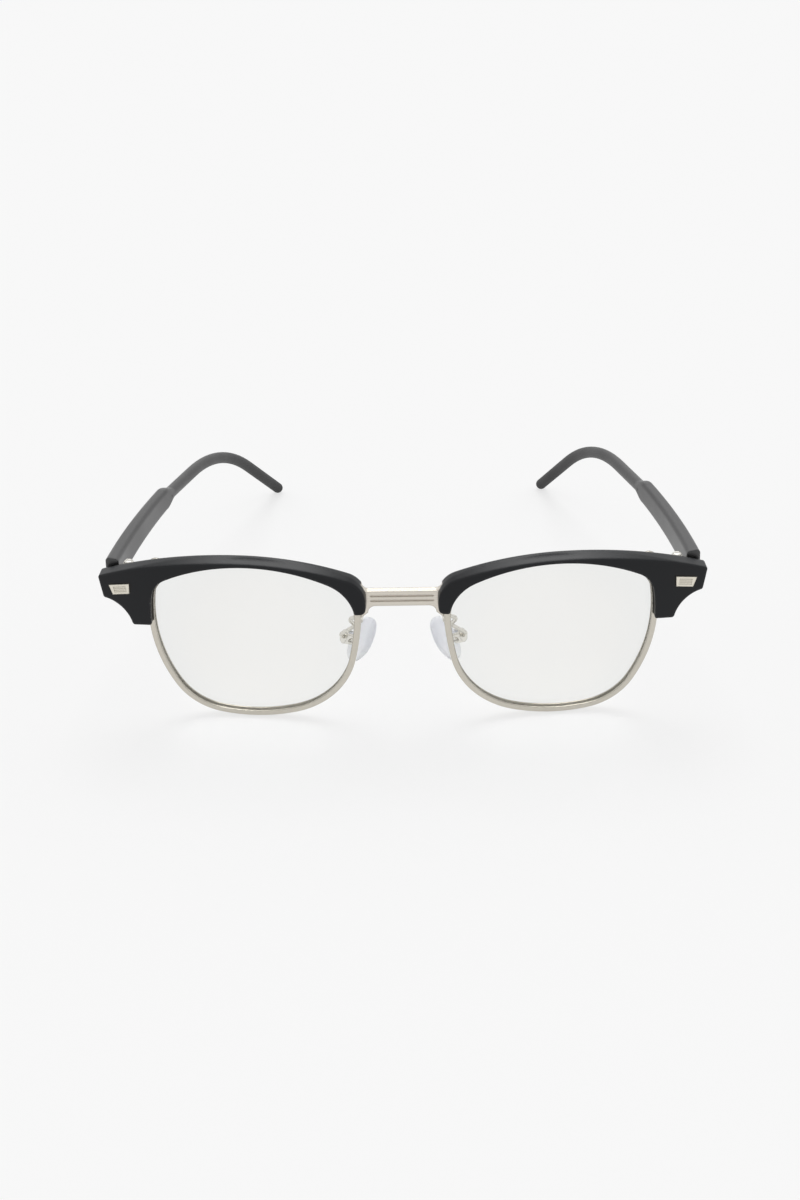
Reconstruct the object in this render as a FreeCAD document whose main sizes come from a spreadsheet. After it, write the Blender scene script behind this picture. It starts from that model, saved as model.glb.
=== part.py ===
# Browline glasses: black brow pieces over metal eyewires, with folding temples and rocking nose pads.
# Millimetres. +Z is up, the front faces -Y, and the wearer's left is +X.
# The left side is modelled and the right side is its mirror image.

import FreeCAD
import Part
import Sketcher
import math
import os

Vector = FreeCAD.Vector
doc = FreeCAD.newDocument("BrowlineGlasses")

# Driving sizes
driving_sizes = [
    ("lens_width", "48.4", "lens, boxed width"),
    ("lens_height", "41.0", "lens, boxed height"),
    ("lens_gap", "21.3", "shortest distance between the lenses"),
    ("lens_curve", "131.0", "radius of the middle of the lens"),
    ("lens_thickness", "1.5", "lens thickness"),
    ("front_tilt", "5.0", "degrees that the top of the front leans forward"),
    ("face_wrap", "5.0", "degrees that each lens turns back at its outer side"),
    ("front_station", "-69.682", "Y of the lens centres"),
    ("top_radius", "43.0", "lens outline, top side"),
    ("top_shift", "1.0", "lens outline, top side, crown towards the temple"),
    ("bottom_radius", "44.0", "lens outline, bottom side"),
    ("bottom_shift", "2.2", "lens outline, bottom side, lowest point towards the temple"),
    ("temporal_radius", "37.0", "lens outline, temple side"),
    ("temporal_rise", "5.6", "lens outline, temple side, widest point above centre"),
    ("nasal_radius", "70.0", "lens outline, nose side"),
    ("nasal_rise", "10.4", "lens outline, nose side, widest point above centre"),
    ("top_temporal_corner", "6.7", "lens outline, corner radius"),
    ("top_nasal_corner", "11.0", "lens outline, corner radius"),
    ("bottom_nasal_corner", "19.0", "lens outline, corner radius"),
    ("bottom_temporal_corner", "14.0", "lens outline, corner radius"),
    ("rim_wall", "1.0", "eyewire outside the lens edge"),
    ("rim_lip", "0.5", "eyewire overlap inside the lens edge"),
    ("rim_depth", "2.4", "eyewire front to back"),
    ("rim_round", "0.4", "eyewire outer edge rounding"),
    ("lens_play", "0.04", "clearance between lens and eyewire groove"),
    ("blank_ahead", "6.0", "reach of the cutting outlines ahead of the lens"),
    ("blank_behind", "22.0", "reach of the cutting outlines behind the lens"),
    ("brow_front", "3.2", "brow front face ahead of the middle of the lens"),
    ("brow_lip", "0.05", "brow overlap inside the lens edge"),
    ("brow_play", "0.05", "clearance between brow and eyewire"),
    ("brow_rise", "1.45", "brow crown above the lens edge"),
    ("brow_shift", "2.0", "brow crown towards the temple"),
    ("brow_nose_fall", "6.32", "fall of the brow top from its crown to the nose end"),
    ("brow_end_fall", "7.17", "fall of the brow top from its crown to the end piece"),
    ("brow_nose_side", "2.2", "brow beyond the lens edge at the nose"),
    ("brow_nose_foot", "8.25", "brow nose end above the lens centre"),
    ("brow_nose_round", "6.5", "brow nose end, top corner radius"),
    ("end_reach", "12.6", "end piece beyond the lens edge, top corner"),
    ("end_slant", "1.1", "end piece outer side, lean inward at the bottom"),
    ("end_foot", "9.5", "end piece underside above the lens centre"),
    ("leg_reach", "4.6", "brow leg beyond the lens edge"),
    ("leg_slope", "1.1", "brow leg underside, rise towards the lens"),
    ("leg_foot", "3.4", "brow leg underside above the lens centre"),
    ("scallop_radius", "7.5", "hollow between end piece and leg"),
    ("nose_foot_round", "1.2", "brow nose end, bottom corner radius"),
    ("end_top_round", "0.6", "end piece, top corner radius"),
    ("end_foot_round", "0.6", "end piece, bottom corner radius"),
    ("leg_round", "0.7", "brow leg, outer corner radius"),
    ("tip_round", "0.55", "brow corners beside the lens"),
    ("brow_edge", "0.3", "brow front edge rounding"),
    ("brow_back_round", "1.2", "brow top side, rounding of the back edge"),
    ("bevel_drop", "0.6", "brow crown bevel, drop at the front face"),
    ("bevel_depth", "2.9", "brow crown bevel, front to back"),
    ("bay_reach", "4.0", "bay behind the brow nose end, inward from the lens edge"),
    ("bay_overrun", "2.0", "bay behind the brow nose end, past the brow"),
    ("bay_top", "15.0", "bay behind the brow nose end, above the lens centre"),
    ("insert_across", "7.0", "insert centre beyond the lens edge"),
    ("insert_up", "12.5", "insert centre above the lens centre"),
    ("insert_turn", "-10.0", "degrees that the insert follows the slope of the brow"),
    ("insert_top", "5.3", "insert, top width"),
    ("insert_bottom", "4.3", "insert, bottom width"),
    ("insert_height", "2.4", "insert, height"),
    ("insert_sunk", "0.65", "insert below the brow face"),
    ("insert_proud", "0.35", "insert above the brow face"),
    ("insert_border", "0.5", "insert, plain border"),
    ("rib_count", "4", "insert, number of grooves"),
    ("rib_pitch", "0.4", "insert, distance between grooves"),
    ("rib_groove", "0.2", "insert, groove width"),
    ("rib_depth", "0.15", "insert, groove depth"),
    ("peg_radius", "0.4", "insert, peg radius"),
    ("peg_length", "0.7", "insert, peg length"),
    ("peg_spacing", "2.4", "insert, distance between pegs"),
    ("bridge_up", "11.2", "bridge centre above the lens centre"),
    ("bridge_set", "-0.1", "bridge centre behind the lens centres"),
    ("bridge_height", "3.9", "bridge bar height"),
    ("bridge_depth", "1.7", "bridge bar front to back"),
    ("bridge_straight", "6.2", "bridge half length before the lower flare"),
    ("bridge_flare", "1.75", "bridge lower flare radius"),
    ("bridge_neck", "7.8", "bridge half length before the upper flare"),
    ("bridge_collar", "1.5", "bridge upper flare radius"),
    ("bridge_heel", "2.6", "drop of the bridge foot towards the eyewire"),
    ("bridge_land", "3.0", "bridge overlap into the eyewire outline before trimming"),
    ("flute_spacing", "1.25", "distance between the two bridge grooves"),
    ("flute_radius", "0.22", "half width of a bridge groove"),
    ("flute_length", "14.7", "length of a bridge groove"),
    ("flute_depth", "0.35", "depth of a bridge groove"),
    ("lock_reach", "2.4", "closing block beyond the eyewire"),
    ("lock_root", "0.3", "closing block overlap into the eyewire before trimming"),
    ("lock_up", "7.0", "closing block split above the lens centre"),
    ("lock_height", "2.4", "height of each closing block"),
    ("lock_slit", "0.16", "slit between the closing blocks"),
    ("lock_room", "0.15", "clearance between closing blocks and brow"),
    ("lock_screw", "0.5", "closing screw shank radius"),
    ("lock_head", "0.85", "closing screw head radius"),
    ("lock_head_depth", "0.5", "closing screw head thickness"),
    ("tab_across", "-1.3", "brow tab centre beyond the lens edge"),
    ("tab_up", "16.6", "brow tab centre above the lens centre"),
    ("tab_radius", "2.2", "brow tab radius"),
    ("tab_thickness", "0.6", "brow tab thickness"),
    ("tab_screw", "0.55", "brow screw shank radius"),
    ("tab_head", "1.0", "brow screw head radius"),
    ("tab_head_depth", "0.5", "brow screw head thickness"),
    ("tab_screw_length", "2.6", "brow screw shank length"),
    ("slot_width", "0.25", "screwdriver slot width"),
    ("slot_depth", "0.25", "screwdriver slot depth"),
    ("slot_overrun", "0.2", "screwdriver slot past the head"),
    ("head_land", "0.6", "straight part of a screw head, share of its thickness"),
    ("head_crown", "0.7", "flat top of a screw head, share of its radius"),
    ("hinge_across", "6.8", "hinge axis beyond the lens edge"),
    ("hinge_up", "13.2", "hinge middle above the lens centre"),
    ("hinge_stand", "2.2", "hinge axis behind the brow"),
    ("hinge_height", "5.4", "hinge barrel height"),
    ("barrel_radius", "1.3", "hinge barrel radius"),
    ("barrel_gap", "0.05", "gap between hinge knuckles"),
    ("knuckle_height", "2.0", "height of the middle knuckle"),
    ("knuckle_room", "0.3", "room around the middle knuckle"),
    ("pin_radius", "0.7", "hinge screw shank radius"),
    ("pin_play", "0.05", "clearance between hinge screw and barrel"),
    ("pin_head", "1.1", "hinge screw head radius"),
    ("pin_head_depth", "0.6", "hinge screw head thickness"),
    ("leaf_sunk", "0.9", "hinge leaf sunk into the end piece"),
    ("leaf_proud", "0.15", "hinge leaf standing behind the end piece"),
    ("front_leaf_height", "4.0", "front leaf height"),
    ("leaf_inner", "2.4", "front leaf towards the nose"),
    ("leaf_outer", "2.2", "front leaf towards the temple"),
    ("web_inner", "1.2", "front hinge web towards the nose"),
    ("web_outer", "0.4", "front hinge web towards the temple"),
    ("temple_inset", "2.15", "hinge axis to the inner face of the temple"),
    ("temple_rise", "0.6", "temple middle above the hinge middle"),
    ("leaf_start", "1.7", "temple leaf behind the hinge axis"),
    ("leaf_cover", "0.7", "temple leaf below the inner face of the temple"),
    ("web_overlap", "1.0", "temple hinge web into its leaf"),
    ("leaf_length", "11.0", "temple leaf length"),
    ("leaf_height", "3.6", "temple leaf height"),
    ("leaf_thickness", "0.8", "temple leaf thickness"),
    ("tang_length", "3.0", "block at the rear of the temple leaf"),
    ("tang_height", "2.4", "height of that block"),
    ("tang_depth", "1.5", "depth of that block into the bar"),
    ("butt_gap", "0.6", "gap between end piece and temple"),
    ("bar_length", "43.0", "temple bar length behind the hinge"),
    ("bar_ahead", "3.5", "temple bar ahead of the hinge before trimming"),
    ("bar_toe", "4.5", "degrees that the temple turns inward at the hinge"),
    ("bar_bow", "313.0", "radius of the inward bow of the bar"),
    ("bar_dip", "0.2", "degrees that the bar falls to the rear"),
    ("bar_front_width", "3.36", "temple bar thickness at the hinge"),
    ("bar_rear_width", "2.93", "temple bar thickness at the shoulder"),
    ("bar_front_height", "6.54", "temple bar height at the hinge"),
    ("bar_rear_height", "5.57", "temple bar height at the shoulder"),
    ("bar_round", "0.9", "temple bar corner radius"),
    ("shoulder_length", "7.5", "taper from bar to slim end"),
    ("slim_radius", "1.55", "slim end radius"),
    ("slim_fit", "0.97", "shoulder end, share of the slim end's width"),
    ("slim_fit_round", "0.9", "shoulder end, corner radius as a share of the slim end's radius"),
    ("slim_run", "49.5", "slim end from the shoulder to the bend"),
    ("slim_toe", "11.6", "degrees that the slim end turns inward"),
    ("slim_dip", "4.85", "degrees that the slim end falls"),
    ("bend_radius", "90.8", "radius of the bend over the ear"),
    ("drop_toe", "16.0", "degrees that the tip turns inward"),
    ("drop_dip", "34.8", "degrees that the tip falls"),
    ("slim_tip", "1.4", "rounding of the free end"),
    ("core_radius", "0.5", "stiffening wire radius"),
    ("core_inset", "0.0", "stiffening wire from the middle of the bar towards its inner face"),
    ("core_short", "5.0", "stiffening wire ends before the tip"),
    ("core_turn", "60.0", "stiffening wire bend radius at the shoulder"),
    ("pad_across", "11.1", "nose pad centre beside the middle of the nose"),
    ("pad_back", "8.2", "nose pad centre behind the lens centres"),
    ("pad_up", "17.7", "nose pad centre above the table"),
    ("pad_lean", "27", "degrees that the pad tops lean together"),
    ("pad_splay", "25.0", "degrees that the pads open to the rear"),
    ("pad_length", "11.8", "nose pad length"),
    ("pad_width", "7.0", "nose pad width"),
    ("pad_end", "0.36", "nose pad end radius, share of its width"),
    ("pad_thickness", "2.6", "nose pad thickness"),
    ("pad_round", "1.0", "nose pad edge rounding"),
    ("stem_reach", "2.9", "pad stem behind the pad"),
    ("stem_half", "1.2", "half length of the pad stem"),
    ("stem_width", "1.2", "pad stem thickness"),
    ("rock_back", "2.3", "pad screw behind the pad"),
    ("box_room", "0.15", "clearance between pad stem and box"),
    ("box_wall", "0.75", "pad box wall beside the stem"),
    ("box_floor", "0.5", "pad box wall behind the stem"),
    ("box_half", "1.6", "half length of the pad box"),
    ("box_round", "1.2", "pad box corner radius"),
    ("box_start", "1.6", "pad box behind the pad"),
    ("box_depth", "2.3", "pad box front to back"),
    ("pad_screw", "0.45", "pad screw shank radius"),
    ("pad_play", "0.05", "clearance between pad screw and stem"),
    ("pad_head", "0.75", "pad screw head radius"),
    ("pad_head_depth", "0.4", "pad screw head thickness"),
    ("arm_radius", "0.5", "pad arm wire radius"),
    ("arm_up", "4.2", "pad arm root above the lens centre"),
    ("arm_back", "3.0", "pad arm first run, to the rear"),
    ("arm_out", "3.4", "pad arm loop, reach away from the nose"),
    ("arm_return", "1.8", "pad arm loop, reach back towards the nose"),
    ("arm_fall_out", "1.2", "pad arm loop, fall of its first half"),
    ("arm_fall_return", "2.0", "pad arm loop, fall of its second half"),
    ("arm_step", "0.6", "pad arm loop, each half to the rear"),
    ("arm_loop", "1.4", "pad arm last run, into the box"),
    ("arm_bend", "0.8", "pad arm bend radius"),
]

sheet = doc.addObject("Spreadsheet::Sheet", "Sizes")
for row, (alias, value, meaning) in enumerate(driving_sizes, start=1):
    sheet.set("A%d" % row, meaning)
    sheet.set("B%d" % row, value)
    sheet.setAlias("B%d" % row, alias)
doc.recompute()


def size(alias):
    return float(sheet.get(alias))


# Lens frame: across towards the temple, up along the front, forward out of the lens
tilt = math.radians(size("front_tilt"))
wrap = math.radians(size("face_wrap"))
flat_forward = Vector(0, -math.cos(tilt), -math.sin(tilt))
lens_up = Vector(0, -math.sin(tilt), math.cos(tilt))
lens_across = Vector(1, 0, 0) * math.cos(wrap) - flat_forward * math.sin(wrap)
lens_forward = flat_forward * math.cos(wrap) + Vector(1, 0, 0) * math.sin(wrap)
lens_centre = Vector(
    size("lens_gap") / 2 + size("lens_width") / 2 * math.cos(wrap),
    size("front_station"),
    (size("lens_height") / 2 + size("rim_wall")) * math.cos(tilt),
)
lens_frame = FreeCAD.Placement(
    lens_centre, FreeCAD.Rotation(lens_across, lens_up, lens_forward, "ZXY")
)
curve_centre = lens_centre - lens_forward * size("lens_curve")


def bind(feature, prop, expression):
    feature.setExpression(prop, expression)
    return feature


def name_last(sketch, name, expression):
    sketch.renameConstraint(sketch.ConstraintCount - 1, name)
    sketch.setExpression("Constraints." + name, expression)


# Lens outline: four large side arcs joined by four corner arcs
def lens_sides():
    half_width = size("lens_width") / 2
    half_height = size("lens_height") / 2
    return [
        ("temporal", Vector(half_width - size("temporal_radius"), size("temporal_rise"), 0),
         "Sizes.lens_width / 2 - Sizes.temporal_radius", "Sizes.temporal_rise"),
        ("top", Vector(size("top_shift"), half_height - size("top_radius"), 0),
         "Sizes.top_shift", "Sizes.lens_height / 2 - Sizes.top_radius"),
        ("nasal", Vector(size("nasal_radius") - half_width, size("nasal_rise"), 0),
         "Sizes.nasal_radius - Sizes.lens_width / 2", "Sizes.nasal_rise"),
        ("bottom", Vector(size("bottom_shift"), size("bottom_radius") - half_height, 0),
         "Sizes.bottom_shift", "Sizes.bottom_radius - Sizes.lens_height / 2"),
    ]


lens_corners = ["top_temporal_corner", "top_nasal_corner", "bottom_nasal_corner", "bottom_temporal_corner"]


def corner_centre(first, first_radius, second, second_radius, radius):
    # centre of an arc that touches both side circles from inside, on the outer side of their centres
    reach_first = first_radius - radius
    reach_second = second_radius - radius
    span = second - first
    along = (reach_first ** 2 - reach_second ** 2 + span.Length ** 2) / (2 * span.Length)
    off = math.sqrt(reach_first ** 2 - along ** 2)
    unit = span / span.Length
    square = Vector(-unit.y, unit.x, 0)
    return first + unit * along + square * off


def angle_of(point):
    return math.atan2(point.y, point.x)


def make_outline(name, grow, grow_rule):
    # the lens outline, every arc grown outward about its own centre
    sides = lens_sides()
    corners = []
    for i, (side, centre, _, _) in enumerate(sides):
        following = sides[(i + 1) % 4]
        corners.append(corner_centre(centre, size(side + "_radius"), following[1],
                                     size(following[0] + "_radius"), size(lens_corners[i])))
    sketch = doc.addObject("Sketcher::SketchObject", name)
    sketch.Placement = lens_frame
    for i, (side, centre, _, _) in enumerate(sides):
        start = angle_of(corners[i - 1] - centre)
        finish = angle_of(corners[i] - centre)
        circle = Part.Circle(centre, Vector(0, 0, 1), size(side + "_radius") + grow)
        sketch.addGeometry(Part.ArcOfCircle(circle, start, finish), False)
        following = sides[(i + 1) % 4][1]
        circle = Part.Circle(corners[i], Vector(0, 0, 1), size(lens_corners[i]) + grow)
        sketch.addGeometry(Part.ArcOfCircle(circle, finish, angle_of(corners[i] - following)), False)
    for i in range(8):
        sketch.addConstraint(Sketcher.Constraint("Tangent", i, 2, (i + 1) % 8, 1))
    for i, (side, centre, across, up) in enumerate(sides):
        sketch.addConstraint(Sketcher.Constraint("Radius", 2 * i, size(side + "_radius") + grow))
        name_last(sketch, side + "_radius", "Sizes." + side + "_radius + (" + grow_rule + ")")
        sketch.addConstraint(Sketcher.Constraint("Radius", 2 * i + 1, size(lens_corners[i]) + grow))
        name_last(sketch, lens_corners[i], "Sizes." + lens_corners[i] + " + (" + grow_rule + ")")
        sketch.addConstraint(Sketcher.Constraint("DistanceX", -1, 1, 2 * i, 3, centre.x))
        name_last(sketch, side + "_across", across)
        sketch.addConstraint(Sketcher.Constraint("DistanceY", -1, 1, 2 * i, 3, centre.y))
        name_last(sketch, side + "_up", up)
    return sketch


# Building blocks for the front: prisms along the lens axis, and balls about the curve centre
def prism(name, outline):
    block = doc.addObject("Part::Extrusion", name)
    block.Base = outline
    block.DirMode = "Custom"
    block.Dir = lens_forward
    block.Solid = True
    bind(block, "LengthFwd", "Sizes.blank_ahead")
    return bind(block, "LengthRev", "Sizes.blank_behind")


def ball(name, expression):
    sphere = doc.addObject("Part::Sphere", name)
    sphere.Placement.Base = curve_centre
    return bind(sphere, "Radius", "Sizes.lens_curve + " + expression)


def common(name, first, second):
    joint_volume = doc.addObject("Part::Common", name)
    joint_volume.Base = first
    joint_volume.Tool = second
    return joint_volume


def carve(name, base, *tools):
    for number, tool in enumerate(tools, start=1):
        step = doc.addObject("Part::Cut", "%s_cut%d" % (name, number))
        step.Base = base
        step.Tool = tool
        base = step
    base.Label = name
    return base


def join(name, *solids):
    union = doc.addObject("Part::MultiFuse", name)
    union.Shapes = list(solids)
    return union


def shell(name, prism_block, front, back):
    # the part of a prism that lies between two balls about the curve centre
    capped = common(name + "_capped", prism_block, ball(name + "_front", front))
    return carve(name, capped, ball(name + "_back", back))


# two lengths in millimetres closer than this count as the same
close = 0.01


def edges_where(shape, test):
    return [i for i, edge in enumerate(shape.Edges, start=1) if test(edge)]


def round_edges(name, base, alias, test):
    doc.recompute()
    rounded = doc.addObject("Part::Fillet", name)
    rounded.Base = base
    radius = size(alias)
    rounded.Edges = [(i, radius, radius) for i in edges_where(base.Shape, test)]
    return rounded


def middle_of(edge):
    return edge.valueAt((edge.FirstParameter + edge.LastParameter) / 2)


def curve_distance(edge):
    # distance of an edge's middle from the curve centre
    return (middle_of(edge) - curve_centre).Length


def in_lens(point):
    # a point in the lens frame: across, up, forward
    return lens_frame.inverse().multVec(point)


def on_shell(across, up, above):
    # a point a given distance outside the middle of the lens, at a place in the lens frame
    radius = size("lens_curve") + above
    forward = math.sqrt(radius ** 2 - across ** 2 - up ** 2) - size("lens_curve")
    return lens_frame.multVec(Vector(across, up, forward))


# Lens: the outline cut from a curved blank of even thickness
half_lens = "Sizes.lens_thickness / 2"
lens_prism = prism("lens_prism", make_outline("lens_outline", 0.0, "0"))
lens_left = shell("lens_left", lens_prism, half_lens, "-" + half_lens)

# Eyewire: a band around the lens with a groove for its edge
rim_outer = prism("rim_outer_prism", make_outline("rim_outer_outline", size("rim_wall"), "Sizes.rim_wall"))
rim_inner = prism("rim_inner_prism", make_outline("rim_inner_outline", -size("rim_lip"), "-Sizes.rim_lip"))
groove_prism = prism("groove_prism", make_outline("groove_outline", size("lens_play"), "Sizes.lens_play"))
half_groove = "Sizes.lens_thickness / 2 + Sizes.lens_play"
half_rim = "Sizes.rim_depth / 2"
rim_band = shell("rim_band", rim_outer, half_rim, "-" + half_rim)
rim_ring = carve("rim_ring", rim_band, rim_inner)
lens_groove = shell("lens_groove", groove_prism, half_groove, "-(" + half_groove + ")")


def on_rim_corner(edge):
    # an outer edge of the eyewire, on its front or its back
    point = in_lens(middle_of(edge))
    flat = lens_frame.multVec(Vector(point.x, point.y, 0))
    outside = Part.Vertex(flat).distToShape(doc.lens_outline.Shape)[0] > size("rim_lip") + close
    level = abs(abs(curve_distance(edge) - size("lens_curve")) - size("rim_depth") / 2)
    return outside and level < close


rim_rounded = round_edges("rim_rounded", rim_ring, "rim_round", on_rim_corner)
eyewire_ring = carve("eyewire_ring", rim_rounded, lens_groove)

# Brow outline: nose end, crown, end piece, hollow and leg; the lens opening is cut from it
half_width = size("lens_width") / 2
half_height = size("lens_height") / 2
crown = Vector(size("brow_shift"), half_height + size("brow_rise"), 0)
nose_foot = Vector(-half_width - size("brow_nose_side"), size("brow_nose_foot"), 0)
nose_span = crown.x - nose_foot.x
end_span = half_width + size("end_reach") - crown.x


def arc_over(span, fall):
    # radius of an arc that is level at its top and falls by a given height over a span
    return (span ** 2 + fall ** 2) / (2 * fall)


nasal_arc = arc_over(nose_span, size("brow_nose_fall"))
temporal_arc = arc_over(end_span, size("brow_end_fall"))
nose_round = size("brow_nose_round")
nasal_centre = crown - Vector(0, nasal_arc, 0)
temporal_centre = crown - Vector(0, temporal_arc, 0)
nose_across = nose_foot.x + nose_round - crown.x
nose_rise = math.sqrt((nasal_arc - nose_round) ** 2 - nose_across ** 2)
nose_centre = nasal_centre + Vector(nose_across, nose_rise, 0)
end_across = half_width + size("end_reach")
end_top = crown + Vector(end_span, -size("brow_end_fall"), 0)
end_foot = Vector(end_across - size("end_slant"), size("end_foot"), 0)
leg_foot = Vector(half_width + size("leg_reach"), size("leg_foot"), 0)
leg_inside = Vector(half_width - size("leg_reach"), size("leg_foot") + size("leg_slope"), 0)
nose_inside = Vector(-half_width + size("leg_reach"), nose_foot.y, 0)
chord = leg_foot - end_foot
scallop_off = math.sqrt(size("scallop_radius") ** 2 - (chord.Length / 2) ** 2)
scallop_centre = (leg_foot + end_foot) / 2 + Vector(-chord.y, chord.x, 0) / chord.Length * scallop_off


def arc(centre, radius, start, finish):
    circle = Part.Circle(centre, Vector(0, 0, 1), radius)
    return Part.ArcOfCircle(circle, angle_of(start - centre), angle_of(finish - centre))


def pin_down(sketch, geometry, end, name, across=None, up=None):
    # ties one point of a sketch to its distances from the sketch origin
    point = sketch.getPoint(geometry, end)
    if across:
        sketch.addConstraint(Sketcher.Constraint("DistanceX", -1, 1, geometry, end, point.x))
        name_last(sketch, name + "_across", across)
    if up:
        sketch.addConstraint(Sketcher.Constraint("DistanceY", -1, 1, geometry, end, point.y))
        name_last(sketch, name + "_up", up)


def make_brow_outline(name, frame):
    sketch = doc.addObject("Sketcher::SketchObject", name)
    sketch.Placement = frame
    nose_turn = Vector(nose_foot.x, nose_centre.y, 0)
    reach = (nose_centre - nasal_centre).normalize() * nasal_arc
    nose_top = nasal_centre + reach
    sketch.addGeometry(Part.LineSegment(nose_foot, nose_turn), False)
    sketch.addGeometry(arc(nose_centre, nose_round, nose_top, nose_turn), False)
    sketch.addGeometry(arc(nasal_centre, nasal_arc, crown, nose_top), False)
    sketch.addGeometry(arc(temporal_centre, temporal_arc, end_top, crown), False)
    sketch.addGeometry(Part.LineSegment(end_top, end_foot), False)
    sketch.addGeometry(arc(scallop_centre, size("scallop_radius"), end_foot, leg_foot), False)
    sketch.addGeometry(Part.LineSegment(leg_foot, leg_inside), False)
    sketch.addGeometry(Part.LineSegment(leg_inside, nose_inside), False)
    sketch.addGeometry(Part.LineSegment(nose_inside, nose_foot), False)
    sketch.addConstraint(Sketcher.Constraint("Tangent", 0, 2, 1, 2))
    sketch.addConstraint(Sketcher.Constraint("Tangent", 1, 1, 2, 2))
    sketch.addConstraint(Sketcher.Constraint("Tangent", 2, 1, 3, 2))
    for first, first_end, second, second_end in ((3, 1, 4, 1), (4, 2, 5, 1), (5, 2, 6, 1),
                                                 (6, 2, 7, 1), (7, 2, 8, 1), (8, 2, 0, 1)):
        sketch.addConstraint(Sketcher.Constraint("Coincident", first, first_end, second, second_end))
    for geometry, alias in ((1, "brow_nose_round"), (5, "scallop_radius")):
        sketch.addConstraint(Sketcher.Constraint("Radius", geometry, size(alias)))
        name_last(sketch, alias, "Sizes." + alias)
    half = "Sizes.lens_width / 2"
    nose_rule = "(Sizes.brow_shift + " + half + " + Sizes.brow_nose_side)"
    end_rule = "(" + half + " + Sizes.end_reach - Sizes.brow_shift)"
    for geometry, span, alias, radius in ((2, nose_rule, "brow_nose_fall", nasal_arc),
                                          (3, end_rule, "brow_end_fall", temporal_arc)):
        fall = "Sizes." + alias
        sketch.addConstraint(Sketcher.Constraint("Radius", geometry, radius))
        name_last(sketch, alias, "(" + span + "^2 + " + fall + "^2) / (2 * " + fall + ")")
    sketch.addConstraint(Sketcher.Constraint("Vertical", 0))
    sketch.addConstraint(Sketcher.Constraint("Horizontal", 8))
    pin_down(sketch, 2, 1, "crown", "Sizes.brow_shift", "Sizes.lens_height / 2 + Sizes.brow_rise")
    pin_down(sketch, 2, 3, "nasal_centre", "Sizes.brow_shift")
    pin_down(sketch, 4, 1, "end_top", half + " + Sizes.end_reach")
    pin_down(sketch, 4, 2, "end_foot", half + " + Sizes.end_reach - Sizes.end_slant", "Sizes.end_foot")
    pin_down(sketch, 6, 1, "leg_foot", half + " + Sizes.leg_reach", "Sizes.leg_foot")
    pin_down(sketch, 6, 2, "leg_inside", half + " - Sizes.leg_reach", "Sizes.leg_foot + Sizes.leg_slope")
    pin_down(sketch, 7, 2, "nose_inside", "Sizes.leg_reach - " + half)
    pin_down(sketch, 0, 1, "nose_foot", "-" + half + " - Sizes.brow_nose_side", "Sizes.brow_nose_foot")
    return sketch


brow_outline = make_brow_outline("brow_outline", lens_frame)
opening_outline = make_outline("brow_opening_outline", -size("brow_lip"), "-Sizes.brow_lip")
brow_opening = prism("brow_opening", opening_outline)
brow_flat = carve("brow_flat", prism("brow_prism", brow_outline), brow_opening)


least_turn = 10


def is_sharp(shape, edge):
    # an edge along the lens axis where two faces meet at an angle
    if not isinstance(edge.Curve, Part.Line):
        return False
    if abs(edge.Curve.Direction.dot(lens_forward)) < 1 - close:
        return False
    first, second = shape.ancestorsOfType(edge, Part.Face)
    point = middle_of(edge)
    first_normal = first.normalAt(*first.Surface.parameter(point))
    second_normal = second.normalAt(*second.Surface.parameter(point))
    return first_normal.getAngle(second_normal) > math.radians(least_turn)


def corner_radius(edge):
    point = in_lens(middle_of(edge))
    for corner, alias in ((nose_foot, "nose_foot_round"), (end_top, "end_top_round"),
                          (end_foot, "end_foot_round"), (leg_foot, "leg_round")):
        if math.hypot(point.x - corner.x, point.y - corner.y) < size("tip_round") / 2:
            return size(alias)
    return size("tip_round")


brow_shell = shell("brow_shell", brow_flat, "Sizes.brow_front", "-" + half_rim)


def on_crown_back(edge):
    # an edge of the top side on the back of the brow
    if abs(curve_distance(edge) - size("lens_curve") + size("rim_depth") / 2) > close:
        return False
    point = in_lens(middle_of(edge))
    flat = Vector(point.x, point.y, 0)
    off_nasal = abs((flat - nasal_centre).Length - nasal_arc)
    off_temporal = abs((flat - temporal_centre).Length - temporal_arc)
    return min(off_nasal, off_temporal) < close


brow_backed = round_edges("brow_backed", brow_shell, "brow_back_round", on_crown_back)
doc.recompute()
brow_smooth = doc.addObject("Part::Fillet", "brow_smooth")
brow_smooth.Base = brow_backed
brow_smooth.Edges = [(i, corner_radius(edge), corner_radius(edge))
                     for i, edge in enumerate(brow_backed.Shape.Edges, start=1)
                     if is_sharp(brow_backed.Shape, edge)]

# Bevel along the crown: the outline run along a leaning axis, which lowers the front of the top side
bevel_start = in_lens(on_shell(crown.x, crown.y, size("brow_front"))).z - size("bevel_depth")
bevel_frame = lens_frame.multiply(FreeCAD.Placement(Vector(0, 0, bevel_start), FreeCAD.Rotation()))
bevel_outline = make_brow_outline("bevel_outline", bevel_frame)
bevel_front = prism("bevel_front", bevel_outline)
bevel_front.Dir = lens_forward * size("bevel_depth") - lens_up * size("bevel_drop")
bind(bevel_front, "LengthFwd", "Sizes.blank_ahead")
bind(bevel_front, "LengthRev", "0")
bevel_back = prism("bevel_back", bevel_outline)
bind(bevel_back, "LengthFwd", "0")
brow_bevelled = common("brow_bevelled", brow_smooth, join("bevel_keep", bevel_front, bevel_back))


def on_brow_front(edge):
    return abs(curve_distance(edge) - size("lens_curve") - size("brow_front")) < close


brow_rounded = round_edges("brow_rounded", brow_bevelled, "brow_edge", on_brow_front)


# Sketch helpers for the small parts
def body_at(name, placement):
    body = doc.addObject("PartDesign::Body", name)
    body.Placement = placement
    return body


def origin_part(body, role):
    for feature in body.Origin.OriginFeatures:
        if feature.Role == role:
            return feature


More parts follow.
